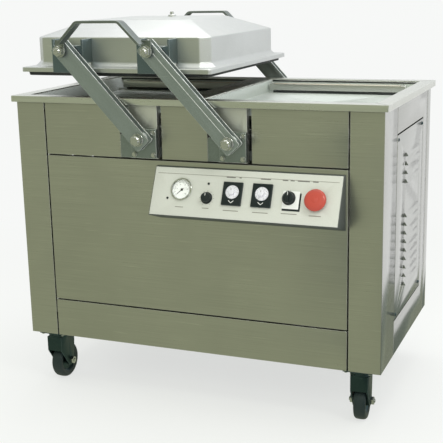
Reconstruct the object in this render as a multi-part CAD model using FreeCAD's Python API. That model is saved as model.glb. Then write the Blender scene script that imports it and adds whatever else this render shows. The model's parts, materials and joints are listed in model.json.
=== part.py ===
import FreeCAD, Part

import math
import os

# Double-chamber vacuum packing machine with one swinging lid.
#
# Millimetres. +Z is up, +X is to the operator's right, and the operator stands on the -Y side.
# The origin is on the floor, under the centre of the cabinet. The lid is drawn lifted over the
# left chamber, on its four parallel arms.

Vector = FreeCAD.Vector
Z_AXIS = Vector(0, 0, 1)
Y_AXIS = Vector(0, 1, 0)
X_AXIS = Vector(1, 0, 0)

# ---- Driving dimensions ----------------------------------------------------------------------

# Cabinet
BODY_W = 1000.0          # outside width
BODY_D = 576.0           # outside depth
BODY_BOTTOM = 150.0      # underside of the cabinet above the floor
BODY_TOP = 801.0         # top of the cabinet skin, under the rim
SHEET = 2.0              # cabinet sheet thickness
SEAM = 4.0               # shadow gap between neighbouring panels
RETURN = 16.0            # depth of each panel's folded edge
POST_FACE = 85.0         # width of a corner post on the front and the back
POST_SIDE_FRONT = 138.0  # width of a front corner post on the side
POST_SIDE_REAR = 42.0    # width of a rear corner post on the side
FASCIA_BOTTOM = 661.0    # seam under the upper fascia
RAIL_TOP = 255.5         # seam over the bottom rail
LOUVRE_Y = (-146.0, 180.0)
LOUVRE_MIDDLE = 42.0      # the louvres are centred at this y
LOUVRE_LENGTH = 160.0
GLAND_Z = 228.0
LOUVRE_Z = (246.0, 724.0)

# Table
RIM_OVERHANG = 11.0
RIM_TOP = 817.0
RIM_WIDTH = 37.0
RIM_SHEET = 3.0
WELL_FLOOR = 781.0
WELL_SHEET = 3.0
WELL_X = (36.0, 440.0)   # flat floor of the right well, mirrored for the left one
WELL_SLOPE = 30.0        # how far the outer wall leans out
WELL_Y = 258.0           # half of a well's depth
DIVIDER_W = 66.0

# Swing linkage
PIVOT_X = 122.0          # lower pivots at minus and plus this x
PIVOT_Z = 717.0
ARM_LENGTH = 302.0       # from lower to upper pivot
REST_REACH = 206.0       # how far the lid's centre stands left of the cabinet's centre
CLOSED_REACH = 251.0     # the same with the lid closed on a chamber
ARM_W = 44.0
ARM_SHEET = 4.0
ARM_Y = (303.0, 329.0)   # inner and outer face of an arm, front and rear alike
ARM_END = 22.0           # how far an arm runs on past each pivot
SHAFT_R = 11.0
PIN_R = 8.0
RUNNING_FIT = 0.06       # radial clearance of a bearing
OPEN_FIT = 0.4           # radial clearance where the linkage is opened
SLOT_W = 118.0           # slots in the fascia around the bearings
SLOT_SHIFT = -11.0
POST_SHIFT = -5.0
BEARING_POST_W = 78.0
BLOCK_BOTTOM = 665.0
BLOCK_TOP = 740.0

# Lid
LID_W = 544.0
LID_D = 580.0
LID_FLANGE = 12.0
LID_WALL_W = 500.0       # outside of the upright walls
LID_WALL_H = 75.0        # wall above the flange
LID_COVE = 12.0          # height of the sloping foot of the walls
LID_ROOF_H = 40.0
LID_ROOF_INSET = 100.0
LID_CHAMFER = 24.0       # upright corners of the walls
LID_SHEET = 5.0
SEAL_H = 10.0
SEAL_W = 12.0
SEAL_HALF = (253.0, 275.0)
SEAL_GAP = 0.4           # seal above the rim when the lid is closed
PRESS_STRIP_Y = 225.0    # seal bars and pressing strips lie at minus and plus this y

# Control box
BOX_X = (-86.0, 408.0)
BOX_TOP_Z = 648.0
BOX_TOP_Y = -300.0       # upper edge of the sloping face
BOX_FACE = 128.0         # height of the sloping face
BOX_BOTTOM_Z = 510.0     # underside at the cabinet
FACE_TILT = 25.4         # degrees that the face leans back from upright
GAUGE = (-5.0, 58.0)     # these are x, and how far down the sloping face
NEEDLE_REST = 135.0      # degrees from upright, at the zero mark
VACUUM_KNOB = (66.0, 76.0)
TIMERS = ((133.0, 58.0), (210.0, 58.0))
TIMER_DROP = 4.0         # a timer's frame is centred this far below its dial
SWITCH = (279.0, 64.0)
SWITCH_PLATE = (284.0, 68.0)
STOP = (348.0, 67.0)

# Casters
WHEEL_R = 50.0
WHEEL_W = 32.0
TRAIL = 26.0             # wheel centre behind the swivel axis
CASTERS = {              # swivel axis x and y, and the way the fork points, degrees from -Y
    "front_left": (-440.0, -248.0, 0.0),
    "front_right": (440.0, -248.0, 4.0),
    "rear_left": (-380.0, 228.0, -12.0),
    "rear_right": (380.0, 228.0, 0.0),
}

# ---- Values that follow ----------------------------------------------------------------------

FRONT = -BODY_D / 2.0
SIDE = BODY_W / 2.0
RIM_X = SIDE + RIM_OVERHANG
RIM_Y = -FRONT + RIM_OVERHANG
REST_ANGLE = math.degrees(math.asin(REST_REACH / ARM_LENGTH))
CLOSED_ANGLE = math.degrees(math.asin(CLOSED_REACH / ARM_LENGTH))
REST_RISE = ARM_LENGTH * math.cos(math.radians(REST_ANGLE))
CLOSED_RISE = ARM_LENGTH * math.cos(math.radians(CLOSED_ANGLE))
LID_X = -REST_REACH
UPPER_PIVOT_Z = PIVOT_Z + REST_RISE
SEAL_BOTTOM = RIM_TOP + SEAL_GAP + REST_RISE - CLOSED_RISE
FLANGE_BOTTOM = SEAL_BOTTOM + SEAL_H
FLANGE_TOP = FLANGE_BOTTOM + LID_FLANGE
WALL_TOP = FLANGE_TOP + LID_WALL_H
BOSS_FACE = FRONT - 12.0       # outer face of the bearing bosses


# ---- Small helpers ---------------------------------------------------------------------------

def box(x0, x1, y0, y1, z0, z1):
    """A block between two corners."""
    return Part.makeBox(x1 - x0, y1 - y0, z1 - z0, Vector(x0, y0, z0))


def rod(start, direction, length, radius):
    """A round bar from start along direction."""
    return Part.makeCylinder(radius, length, Vector(*start), Vector(*direction))


def polygon(points):
    """A closed flat face through 3-D points."""
    corners = [Vector(*p) for p in points]
    return Part.Face(Part.makePolygon(corners + corners[:1]))


def prism_y(points_xz, y0, y1):
    """An outline in X and Z, carried along Y."""
    return polygon([(x, y0, z) for x, z in points_xz]).extrude(Vector(0, y1 - y0, 0))


def prism_x(points_yz, x0, x1):
    """An outline in Y and Z, carried along X."""
    return polygon([(x0, y, z) for y, z in points_yz]).extrude(Vector(x1 - x0, 0, 0))


def fuse(shapes):
    """One solid from touching shapes."""
    first, rest = shapes[0], shapes[1:]
    return first.fuse(rest).removeSplitter() if rest else first


def mirror_x(shape):
    return shape.mirror(Vector(0, 0, 0), X_AXIS)


def mirror_y(shape):
    return shape.mirror(Vector(0, 0, 0), Y_AXIS)


def turned(shape, centre, axis, degrees):
    copy = shape.copy()
    copy.rotate(Vector(*centre), axis, degrees)
    return copy


def hexagon(centre, direction_y, length, across_flats, hole=0.0):
    """A nut or bolt head with its axis along Y."""
    x, y, z = centre
    radius = across_flats / math.sqrt(3.0)
    corners = []
    for k in range(6):
        angle = math.radians(60.0 * k)
        corners.append((x + radius * math.cos(angle), y, z + radius * math.sin(angle)))
    body = polygon(corners).extrude(Vector(0, direction_y * length, 0))
    if hole:
        body = body.cut(rod(centre, (0, direction_y, 0), length, hole))
    return body


def save(name, *shapes):
    """Write one node: a single solid, or a group of separate solids."""
    solids = []
    for shape in shapes:
        solids.extend(shape.Solids)
    result = solids[0] if len(solids) == 1 else Part.makeCompound(solids)
    result.exportStep("parts/" + name + ".step")
    print(name, len(solids), round(sum(s.Volume for s in solids) / 1000.0, 1), "cm3")


# ---- Cabinet ---------------------------------------------------------------------------------

def front_pan(x0, x1, z0, z1):
    """A front panel: a sheet with its four edges folded back."""
    outer = box(x0, x1, FRONT, FRONT + RETURN, z0, z1)
    inner = box(x0 + SHEET, x1 - SHEET, FRONT + SHEET, FRONT + RETURN, z0 + SHEET, z1 - SHEET)
    return outer.cut(inner)


def side_pan(y0, y1, z0, z1):
    """A panel of the right side, folded inwards at its edges."""
    outer = box(SIDE - RETURN, SIDE, y0, y1, z0, z1)
    inner = box(SIDE - RETURN, SIDE - SHEET, y0 + SHEET, y1 - SHEET, z0 + SHEET, z1 - SHEET)
    return outer.cut(inner)


def corner_post(side_width):
    """The folded front right corner, with a small outside radius."""
    x0 = SIDE - POST_FACE + SEAM / 2.0
    outer = box(x0, SIDE, FRONT, FRONT + side_width, BODY_BOTTOM, BODY_TOP)
    inner = box(x0, SIDE - SHEET, FRONT + SHEET, FRONT + side_width, BODY_BOTTOM, BODY_TOP)
    post = outer.cut(inner)
    corner = [e for e in post.Edges
              if e.BoundBox.ZLength > 100.0
              and abs(e.BoundBox.XMin - SIDE) < 0.01
              and abs(e.BoundBox.YMin - FRONT) < 0.01]
    return post.makeFillet(SHEET, corner)


def fascia_plates():
    """The upper fascia is three plates, apart at the two slots."""
    z0 = FASCIA_BOTTOM + SEAM / 2.0
    outer = SIDE - POST_FACE - SEAM / 2.0
    slots = [x + SLOT_SHIFT for x in (-PIVOT_X, PIVOT_X)]
    edges = [-outer, slots[0] - SLOT_W / 2.0, slots[0] + SLOT_W / 2.0,
             slots[1] - SLOT_W / 2.0, slots[1] + SLOT_W / 2.0, outer]
    return [front_pan(edges[k], edges[k + 1], z0, BODY_TOP) for k in (0, 2, 4)]


def louvre_panel():
    """The right louvred panel: four louvres above and nine below, each a pressed hood.

    A round hole at each end of a louvre stops the sheet from tearing when it is pressed.
    """
    panel = side_pan(*LOUVRE_Y, *LOUVRE_Z)
    length, drop, depth, wall, pitch = LOUVRE_LENGTH, 11.0, 6.0, 1.4, 23.2
    start = LOUVRE_MIDDLE - length / 2.0
    hoods = []
    slots = []
    rows = [585.0 + pitch * k for k in range(4)] + [308.0 + pitch * k for k in range(9)]
    for z in rows:
        outline = [(SIDE - SHEET, z + drop), (SIDE, z + drop), (SIDE + depth, z), (SIDE - SHEET, z)]
        hollow = [(SIDE - SHEET, z + drop - wall), (SIDE, z + drop - wall),
                  (SIDE + depth - wall, z), (SIDE - SHEET, z)]
        hoods.append(prism_y(outline, start, start + length))
        slots.append(prism_y(hollow, start + wall, start + length - wall))
        for y in (start - 5.0, start + length + 5.0):
            slots.append(rod((SIDE - 5.0, y, z + 4.0), (1, 0, 0), 10.0, 4.5))
    return fuse([panel] + hoods).cut(slots)


def vent_slots():
    """Cutters for the rear panel's row of cooling slots."""
    return [box(-240.0 + 30.0 * k, -226.0 + 30.0 * k, FRONT - 1.0, FRONT + 4.0, 318.0, 438.0)
            for k in range(17)]


def build_cabinet():
    inside_x = SIDE - RETURN - 2.0
    inside_y = -FRONT - RETURN - 2.0
    tray = box(-inside_x, inside_x, -inside_y, inside_y, BODY_BOTTOM, BODY_BOTTOM + 3.0)
    lip = box(-inside_x, inside_x, -inside_y, inside_y, BODY_BOTTOM, BODY_BOTTOM + 25.0)
    lip = lip.cut(box(3.0 - inside_x, inside_x - 3.0, 3.0 - inside_y, inside_y - 3.0,
                      BODY_BOTTOM, BODY_BOTTOM + 25.0))
    rails = [box(x, x + 30.0, -150.0, 150.0, BODY_BOTTOM + 3.0, BODY_BOTTOM + 38.0)
             for x in (-300.0, -110.0, 60.0)]
    beam = box(-SIDE + RETURN + 2.0, SIDE - RETURN - 2.0, FRONT + 24.0, FRONT + 48.0, 666.0, 690.0)
    save("chassis_frame", fuse([tray, lip] + rails), beam, mirror_y(beam))

    front_post = corner_post(POST_SIDE_FRONT)
    rear_post = mirror_y(corner_post(POST_SIDE_REAR))
    save("corner_posts", front_post, mirror_x(front_post), rear_post, mirror_x(rear_post))

    fascia = fascia_plates()
    save("front_fascia", *fascia)
    save("rear_fascia", *[mirror_y(plate) for plate in fascia])

    half = SIDE - POST_FACE - SEAM / 2.0
    gap = SEAM / 2.0
    save("front_access_panel", front_pan(-half, half, RAIL_TOP + gap, FASCIA_BOTTOM - gap))
    save("front_bottom_rail", front_pan(-half, half, BODY_BOTTOM, RAIL_TOP - gap))
    rear = front_pan(-half, half, BODY_BOTTOM, FASCIA_BOTTOM - gap).cut(vent_slots())
    gland_hole = rod((-300.0, FRONT - 1.0, GLAND_Z), (0, 1, 0), 8.0, 10.0)
    save("rear_access_panel", mirror_y(rear.cut(gland_hole)))

    y0 = FRONT + POST_SIDE_FRONT + SEAM
    y1 = -FRONT - POST_SIDE_REAR - SEAM
    skin = side_pan(y0, y1, BODY_BOTTOM, BODY_TOP)
    skin = skin.cut(box(SIDE - RETURN, SIDE, y0, LOUVRE_Y[1] + SEAM,
                        LOUVRE_Z[0] - SEAM, LOUVRE_Z[1] + SEAM))
    save("side_skins", skin, mirror_x(skin))
    panel = louvre_panel()
    save("louvre_panels", panel, mirror_x(panel))


def build_gland():
    """The gland in the rear panel where a supply cable would leave."""
    y = -FRONT
    body = fuse([rod((-300.0, y - 12.0, GLAND_Z), (0, 1, 0), 30.0, 9.8),
                 rod((-300.0, y, GLAND_Z), (0, 1, 0), 5.0, 14.0),
                 hexagon((-300.0, y + 5.0, GLAND_Z), 1, 9.0, 24.0)])
    save("cable_gland", body.cut(rod((-300.0, y - 13.0, GLAND_Z), (0, 1, 0), 40.0, 5.5)))


# ---- Table -----------------------------------------------------------------------------------

def build_table():
    outer = box(-RIM_X, RIM_X, -RIM_Y, RIM_Y, BODY_TOP, RIM_TOP)
    upright = [e for e in outer.Edges if e.BoundBox.ZLength > 1.0]
    outer = outer.makeFillet(4.0, upright)
    opening = box(RIM_WIDTH - RIM_X, RIM_X - RIM_WIDTH, RIM_WIDTH - RIM_Y, RIM_Y - RIM_WIDTH,
                  BODY_TOP, RIM_TOP)
    under = box(RIM_SHEET - RIM_X, RIM_X - RIM_SHEET, RIM_SHEET - RIM_Y, RIM_Y - RIM_SHEET,
                BODY_TOP, RIM_TOP - RIM_SHEET)
    save("top_rim", outer.cut([opening, under]))

    top = RIM_TOP - RIM_SHEET
    x0, x1 = WELL_X
    flange = box(6.0 - SIDE, SIDE - 6.0, FRONT + 6.0, -FRONT - 6.0, top - WELL_SHEET, top)
    t = WELL_SHEET
    tub = [(x0 - t, top), (x0 - t, WELL_FLOOR - t), (x1 + t, WELL_FLOOR - t),
           (x1 + WELL_SLOPE + t, top)]
    bowl = [(x0, top), (x0, WELL_FLOOR), (x1, WELL_FLOOR), (x1 + WELL_SLOPE, top)]
    tubs = prism_y(tub, -WELL_Y - t, WELL_Y + t)
    bowls = prism_y(bowl, -WELL_Y, WELL_Y)
    ports = [rod((s * 250.0, 0.0, WELL_FLOOR - 10.0), (0, 0, 1), 20.0, 13.0) for s in (-1, 1)]
    wells = fuse([flange, tubs, mirror_x(tubs)]).cut([bowls, mirror_x(bowls)] + ports)
    save("table_wells", wells)

    half = DIVIDER_W / 2.0
    reach = RIM_Y - RIM_WIDTH
    save("centre_divider", box(-half, half, -reach, reach, top, RIM_TOP))


def build_seal_bars():
    """Four bars that rise on inflated bladders to press the bag's mouth against the lid."""
    centre = (WELL_X[0] + WELL_X[1]) / 2.0 + 3.0
    bladders = []
    for side, sx in (("left", -1), ("right", 1)):
        for row, sy in (("front", -1), ("rear", 1)):
            x, y = sx * centre, sy * PRESS_STRIP_Y
            bladders.append(box(x - 190.0, x + 190.0, y - 7.0, y + 7.0,
                                WELL_FLOOR, WELL_FLOOR + 7.0))
            bar = box(x - 200.0, x + 200.0, y - 10.0, y + 10.0,
                      WELL_FLOOR + 8.0, WELL_FLOOR + 26.0)
            groove = box(x - 200.0, x + 200.0, y - 5.0, y + 5.0,
                         WELL_FLOOR + 24.5, WELL_FLOOR + 26.0)
            save("seal_bar_" + side + "_" + row, bar.cut(groove))
    save("bar_bladders", *bladders)


# ---- Swing linkage ---------------------------------------------------------------------------

def arm(upper_hole):
    """A channel arm, drawn upright on the origin: open to +X, its web on -X."""
    half = ARM_W / 2.0
    y_outer, y_inner = -ARM_Y[1], -ARM_Y[0]
    blank = box(-half, half, y_outer, y_inner, -ARM_END, ARM_LENGTH + ARM_END)
    corners = [e for e in blank.Edges if e.BoundBox.YLength > 10.0]
    blank = blank.makeFillet(5.0, corners)
    trough = box(-half + ARM_SHEET, half, y_outer + ARM_SHEET, y_inner - ARM_SHEET,
                 -ARM_END, ARM_LENGTH + ARM_END)
    bosses = [rod((0.0, y_outer + 1.0, z), (0, 1, 0), ARM_Y[1] - ARM_Y[0] - 2.0, radius)
              for z, radius in ((0.0, 17.0), (ARM_LENGTH, 14.0))]
    holes = [rod((0.0, y_outer - 1.0, z), (0, 1, 0), 30.0, radius)
             for z, radius in ((0.0, SHAFT_R), (ARM_LENGTH, upper_hole))]
    return fuse([blank.cut(trough)] + bosses).cut(holes)


def build_arms():
    """Two pairs of arms. Each pair is pinned to one shaft, which runs through the cabinet."""
    for side, x, fit in (("left", -PIVOT_X, RUNNING_FIT), ("right", PIVOT_X, OPEN_FIT)):
        front = arm(PIN_R + fit)
        front.translate(Vector(x, 0, PIVOT_Z))
        front = turned(front, (x, 0, PIVOT_Z), Y_AXIS, -REST_ANGLE)
        save(side + "_arms", front, mirror_y(front))

        end = ARM_Y[1] + 20.0
        shaft = rod((x, -end, PIVOT_Z), (0, 1, 0), 2.0 * end, SHAFT_R)
        nut = hexagon((x, -ARM_Y[1], PIVOT_Z), -1, 13.0, 32.0, SHAFT_R)
        save(side + "_shaft", fuse([shaft, nut, mirror_y(nut)]))


def build_bearings():
    """Posts behind the slots, each with a bolted bearing block around its shaft.

    A wing on each block's left closes the lower corner of the slot beside the post.
    """
    posts = []
    blocks = []
    for x in (-PIVOT_X, PIVOT_X):
        centre = x + POST_SHIFT
        half = BEARING_POST_W / 2.0
        z0, z1 = FASCIA_BOTTOM + 1.0, BODY_TOP - 1.0
        face = FRONT + 5.0
        post = box(centre - half, centre + half, face, face + 18.0, z0, z1)
        post = post.cut(box(centre - half + 3.0, centre + half - 3.0, face + 3.0, face + 18.0,
                            z0, z1))
        post = post.cut(rod((x, face - 1.0, PIVOT_Z), (0, 1, 0), 20.0, SHAFT_R + 3.0))
        slot_edge = x + SLOT_SHIFT - SLOT_W / 2.0
        wing = box(slot_edge + 1.0, x, face - 6.0, face - 2.0, FASCIA_BOTTOM + 3.0, BLOCK_TOP - 16.0)
        block = fuse([box(x - 35.0, x + 35.0, face - 12.0, face, BLOCK_BOTTOM, BLOCK_TOP), wing,
                      rod((x, BOSS_FACE, PIVOT_Z), (0, 1, 0), 12.0, 19.0)])
        block = block.cut(rod((x, face - 20.0, PIVOT_Z), (0, 1, 0), 40.0, SHAFT_R + RUNNING_FIT))
        posts += [post, mirror_y(post)]
        blocks += [block, mirror_y(block)]
    save("bearing_posts", *posts)
    save("bearing_blocks", *blocks)


# ---- Lid -------------------------------------------------------------------------------------

def cut_corner_wire(half_x, half_y, chamfer, z):
    """A rectangle around the lid's centre with its four corners cut off."""
    quarter = [(half_x, half_y - chamfer), (half_x - chamfer, half_y)]
    outline = quarter + [(-x, y) for x, y in reversed(quarter)]
    outline += [(-x, -y) for x, y in outline]
    corners = [Vector(LID_X + x, y, z) for x, y in outline]
    return Part.makePolygon(corners + corners[:1])


def lid_dome(inset, z_start):
    """The lid's walls and roof as one body. The inner one, smaller by inset, has no sloping foot."""
    wall = LID_WALL_W / 2.0 - inset
    cove = 0.0 if inset else LID_COVE
    roof = wall - LID_ROOF_INSET
    chamfer = LID_CHAMFER - 0.6 * inset
    sections = [(wall + cove, chamfer + cove * 0.6, z_start),
                (wall + cove, chamfer + cove * 0.6, FLANGE_TOP),
                (wall, chamfer, FLANGE_TOP + LID_COVE),
                (wall, chamfer, WALL_TOP - 0.3 * inset),
                (roof, chamfer, WALL_TOP + LID_ROOF_H - inset)]
    slices = []
    for (a, ca, za), (b, cb, zb) in zip(sections, sections[1:]):
        wires = [cut_corner_wire(a, a, ca, za), cut_corner_wire(b, b, cb, zb)]
        slices.append(Part.makeLoft(wires, True, True))
    return fuse(slices)


def build_lid():
    flange = box(LID_X - LID_W / 2.0, LID_X + LID_W / 2.0, -LID_D / 2.0, LID_D / 2.0,
                 FLANGE_BOTTOM, FLANGE_TOP)
    upright = [e for e in flange.Edges if abs(e.BoundBox.ZLength - LID_FLANGE) < 0.01]
    flange = flange.makeFillet(10.0, upright)
    dome = lid_dome(0.0, FLANGE_BOTTOM + 1.0)
    cavity = lid_dome(LID_SHEET, FLANGE_BOTTOM - 1.0)
    valve_hole = rod((LID_X, 85.0, WALL_TOP), (0, 0, 1), 60.0, 8.0)
    shell = fuse([flange, dome]).cut([cavity, valve_hole])
    inner = LID_WALL_W / 2.0 - LID_SHEET
    ledge = box(LID_X - 206.0, LID_X + 206.0, -inner - 3.0, 11.0 - PRESS_STRIP_Y,
                FLANGE_BOTTOM + 6.0, FLANGE_BOTTOM + 12.0)
    save("lid_shell", fuse([shell, ledge, mirror_y(ledge)]))

    strip = box(LID_X - 204.0, LID_X + 204.0, -PRESS_STRIP_Y - 8.0, 8.0 - PRESS_STRIP_Y,
                SEAL_BOTTOM + 2.0, FLANGE_BOTTOM + 6.0)
    save("lid_press_strips", strip, mirror_y(strip))

    hx, hy = SEAL_HALF
    half = SEAL_W / 2.0
    seal = box(LID_X - hx - half, LID_X + hx + half, -hy - half, hy + half,
               SEAL_BOTTOM, FLANGE_BOTTOM)
    save("lid_seal", seal.cut(box(LID_X - hx + half, LID_X + hx - half, half - hy, hy - half,
                                  SEAL_BOTTOM, FLANGE_BOTTOM)))

    body = fuse([rod((LID_X, 85.0, WALL_TOP + LID_ROOF_H - 12.0), (0, 0, 1), 12.0, 7.8),
                 rod((LID_X, 85.0, WALL_TOP + LID_ROOF_H), (0, 0, 1), 5.0, 12.0),
                 rod((LID_X, 85.0, WALL_TOP + LID_ROOF_H + 5.0), (0, 0, 1), 9.0, 6.0)])
    save("lid_valve", body)


def lid_bracket(x):
    """A welded channel that carries one upper pivot in front of the lid's wall."""
    wall = -LID_WALL_W / 2.0
    front = -300.0
    half = 45.0
    plate = box(x - half, x + half, front, front + 5.0, FLANGE_BOTTOM, UPPER_PIVOT_Z + 12.0)
    cheeks = [box(x + s * half - 2.5 - s * 2.5, x + s * half + 2.5 - s * 2.5, front, wall,
                  FLANGE_TOP + LID_COVE, WALL_TOP - 2.0) for s in (-1, 1)]
    return fuse([plate] + cheeks).cut(rod((x, front - 1.0, UPPER_PIVOT_Z), (0, 1, 0), 8.0, PIN_R))


def lid_pin(x):
    """An upper pivot pin with its inner head and its outer nut, in front."""
    head = rod((x, -289.0, UPPER_PIVOT_Z), (0, -1, 0), 6.0, 13.0)
    shank = rod((x, -289.0, UPPER_PIVOT_Z), (0, -1, 0), 69.0, PIN_R)
    nut = hexagon((x, -337.5, UPPER_PIVOT_Z), -1, 14.0, 26.0, PIN_R)
    return fuse([head, shank, nut])


def lid_handle():
    """The front handle: a flat bar bent into a bridge, with a lug on each pivot pin."""
    y0, y1 = -364.0, -332.3
    thick = 6.0
    top = UPPER_PIVOT_Z + 76.0
    foot_z = UPPER_PIVOT_Z + 19.0
    foot, crown = 117.0, 60.0
    outer = [(-foot, foot_z), (-crown, top), (crown, top), (foot, foot_z)]
    slope = math.atan2(top - foot_z, foot - crown)
    dx = thick / math.sin(slope)
    inner_dx = dx - thick / math.tan(slope)
    inner = [(foot - dx, foot_z), (crown - inner_dx, top - thick),
             (inner_dx - crown, top - thick), (dx - foot, foot_z)]
    bar = prism_y([(LID_X + x, z) for x, z in outer + inner], y0, y1)
    for level, radius in ((top, 16.0), (top - thick, 10.0)):
        bends = [e for e in bar.Edges
                 if e.BoundBox.YLength > 10.0 and e.BoundBox.ZLength < 0.01
                 and abs(e.BoundBox.ZMin - level) < 0.01]
        bar = bar.makeFillet(radius, bends)
    parts = [bar]
    for s in (-1, 1):
        x = LID_X + s * PIVOT_X
        lug = fuse([box(x - 13.0, x + 13.0, y1 - 5.0, y1, UPPER_PIVOT_Z, UPPER_PIVOT_Z + 28.0),
                    rod((x, y1 - 5.0, UPPER_PIVOT_Z), (0, 1, 0), 5.0, 15.0)])
        parts.append(lug)
    handle = fuse(parts)
    holes = [rod((LID_X + s * PIVOT_X, y1 - 6.0, UPPER_PIVOT_Z), (0, 1, 0), 8.0, PIN_R)
             for s in (-1, 1)]
    return handle.cut(holes)


def build_lid_fittings():
    xs = (LID_X - PIVOT_X, LID_X + PIVOT_X)
    brackets = [lid_bracket(x) for x in xs]
    pins = [lid_pin(x) for x in xs]
    save("lid_brackets", *brackets, *[mirror_y(b) for b in brackets])
    save("lid_pins", *pins, *[mirror_y(p) for p in pins])
    handle = lid_handle()
    save("lid_handles", handle, mirror_y(handle))


# ---- Control box -----------------------------------------------------------------------------

def on_face(shape):
    """Put a shape drawn flat on the sloping face: x along it, -y down it, z out of it."""
    turn = FreeCAD.Rotation(X_AXIS, 90.0 - FACE_TILT)
    place = FreeCAD.Placement(Vector(0, BOX_TOP_Y, BOX_TOP_Z), turn)
    return shape.transformed(place.toMatrix())


def disc(x, down, z0, z1, radius):
    """A round piece on the face, at x and at a distance down from its upper edge."""
    return rod((x, -down, z0), (0, 0, 1), z1 - z0, radius)


def slab(x, down, width, height, z0, z1):
    """A rectangular piece on the face."""
    return box(x - width / 2.0, x + width / 2.0, -down - height / 2.0, height / 2.0 - down, z0, z1)


def pointer_knob(centre, radius, height, z0):
    """A turned knob with a raised grip bar across it."""
    skirt = disc(*centre, z0, z0 + 3.0, radius)
    cap = disc(*centre, z0 + 3.0, z0 + height, radius - 2.5)
    grip = slab(*centre, 5.0, 2.0 * radius - 6.0, z0 + height, z0 + height + 3.0)
    return on_face(fuse([skirt, cap, grip]))


def build_control_box():
    tilt = math.radians(FACE_TILT)
    lower_y = BOX_TOP_Y - BOX_FACE * math.sin(tilt)
    lower_z = BOX_TOP_Z - BOX_FACE * math.cos(tilt)
    profile = [(FRONT, BOX_TOP_Z), (BOX_TOP_Y, BOX_TOP_Z), (lower_y, lower_z),
               (FRONT, BOX_BOTTOM_Z)]
    wall = 2.0
    hollow = [(FRONT, BOX_TOP_Z - wall), (BOX_TOP_Y - 0.5, BOX_TOP_Z - wall),
              (lower_y + wall, lower_z + wall), (FRONT, BOX_BOTTOM_Z + wall)]
    x0, x1 = BOX_X
    middle = (x0 + x1) / 2.0
    window = on_face(slab(middle, BOX_FACE / 2.0, x1 - x0 - 12.0, BOX_FACE - 10.0, -6.0, 4.0))
    shell = prism_x(profile, x0, x1).cut([prism_x(hollow, x0 + wall, x1 - wall), window])
    save("control_box", shell)

    sockets = [disc(*GAUGE, -1.0, 3.0, 26.2), disc(*VACUUM_KNOB, -1.0, 3.0, 4.0),
               disc(*SWITCH, -1.0, 3.0, 6.0), disc(*STOP, -1.0, 3.0, 11.3)]
    sockets += [slab(x, down + TIMER_DROP, 46.0, 46.0, -1.0, 3.0) for x, down in TIMERS]
    plate = slab(middle, BOX_FACE / 2.0, x1 - x0 - 4.0, BOX_FACE - 4.0, 0.0, 2.0)
    save("control_face", on_face(plate.cut(sockets)))


def build_instruments():
    cup = disc(*GAUGE, -14.0, 2.0, 26.0).cut(disc(*GAUGE, -12.0, 2.0, 24.0))
    bezel = disc(*GAUGE, 2.0, 7.0, 29.0).cut(disc(*GAUGE, 2.0, 7.0, 24.0))
    save("gauge_case", on_face(fuse([cup, bezel])))
    save("gauge_dial", on_face(disc(*GAUGE, -3.0, -1.5, 23.9).cut(disc(*GAUGE, -4.0, 0.0, 1.8))))
    save("gauge_glass", on_face(disc(*GAUGE, 4.0, 6.0, 23.9)))
    x, down = GAUGE
    hub = disc(*GAUGE, -0.8, 1.2, 3.0)
    pivot = disc(*GAUGE, -6.0, -0.8, 1.4)
    blade = box(x - 0.7, x + 0.7, -down - 6.0, -down + 17.0, -0.2, 0.6)
    needle = turned(fuse([hub, pivot, blade]), (x, -down, 0.0), Z_AXIS, NEEDLE_REST)
    save("gauge_needle", on_face(needle))

    bezels = []
    for name, (x, down) in zip(("timer_knob_left", "timer_knob_right"), TIMERS):
        middle = (x, down + TIMER_DROP)
        frame = slab(*middle, 51.0, 59.0, 2.0, 8.0).cut(disc(x, down, 5.5, 8.0, 18.0))
        body = slab(*middle, 45.0, 45.0, -16.0, 2.0)
        socket = disc(x, down, -8.0, 9.0, 3.1)
        bezels.append(on_face(fuse([frame, body]).cut(socket)))
        spindle = disc(x, down, -7.0, 7.0, 3.04)
        dial = disc(x, down, 6.0, 8.6, 17.0)
        cap = disc(x, down, 8.6, 15.0, 8.0)
        grip = slab(x, down, 3.0, 15.0, 15.0, 17.0)
        save(name, on_face(fuse([spindle, dial, cap, grip])))
    save("timer_bezels", *bezels)

    knob = fuse([disc(*VACUUM_KNOB, -8.0, 2.5, 3.9), disc(*VACUUM_KNOB, 2.4, 5.0, 15.0),
                 disc(*VACUUM_KNOB, 5.0, 16.0, 12.0)])
    save("vacuum_knob", on_face(knob))

    plate = slab(*SWITCH_PLATE, 42.0, 44.0, 2.0, 4.0).cut(disc(*SWITCH, 1.0, 5.0, 6.0))
    save("switch_plate", on_face(plate))
    spindle = on_face(disc(*SWITCH, -9.0, 4.5, 5.9))
    save("mode_switch", fuse([spindle, pointer_knob(SWITCH, 17.0, 13.0, 4.4)]))

    sleeve = disc(*STOP, -18.0, 2.0, 11.0)
    collar = disc(*STOP, 2.0, 9.0, 19.0)
    base = fuse([sleeve, collar]).cut(disc(*STOP, -16.0, 10.0, 8.06))
    save("stop_base", on_face(base))
    head = fuse([disc(*STOP, -8.0, 16.0, 8.0), disc(*STOP, 15.0, 23.0, 27.0)])
    crown = [e for e in head.Edges if e.BoundBox.ZMin > 22.9]
    save("stop_button", on_face(head.makeFillet(5.0, crown)))


# ---- Fasteners -------------------------------------------------------------------------------

def front_screw(x, z, y=FRONT):
    """A domed screw head standing on a front face."""
    return Part.makeSphere(6.0, Vector(x, y + 3.6, z)).common(
        box(x - 6.0, x + 6.0, y - 3.0, y, z - 6.0, z + 6.0))


def bolt_head(x, y, z):
    return hexagon((x, y, z), -1, 4.0, 10.0)


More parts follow.
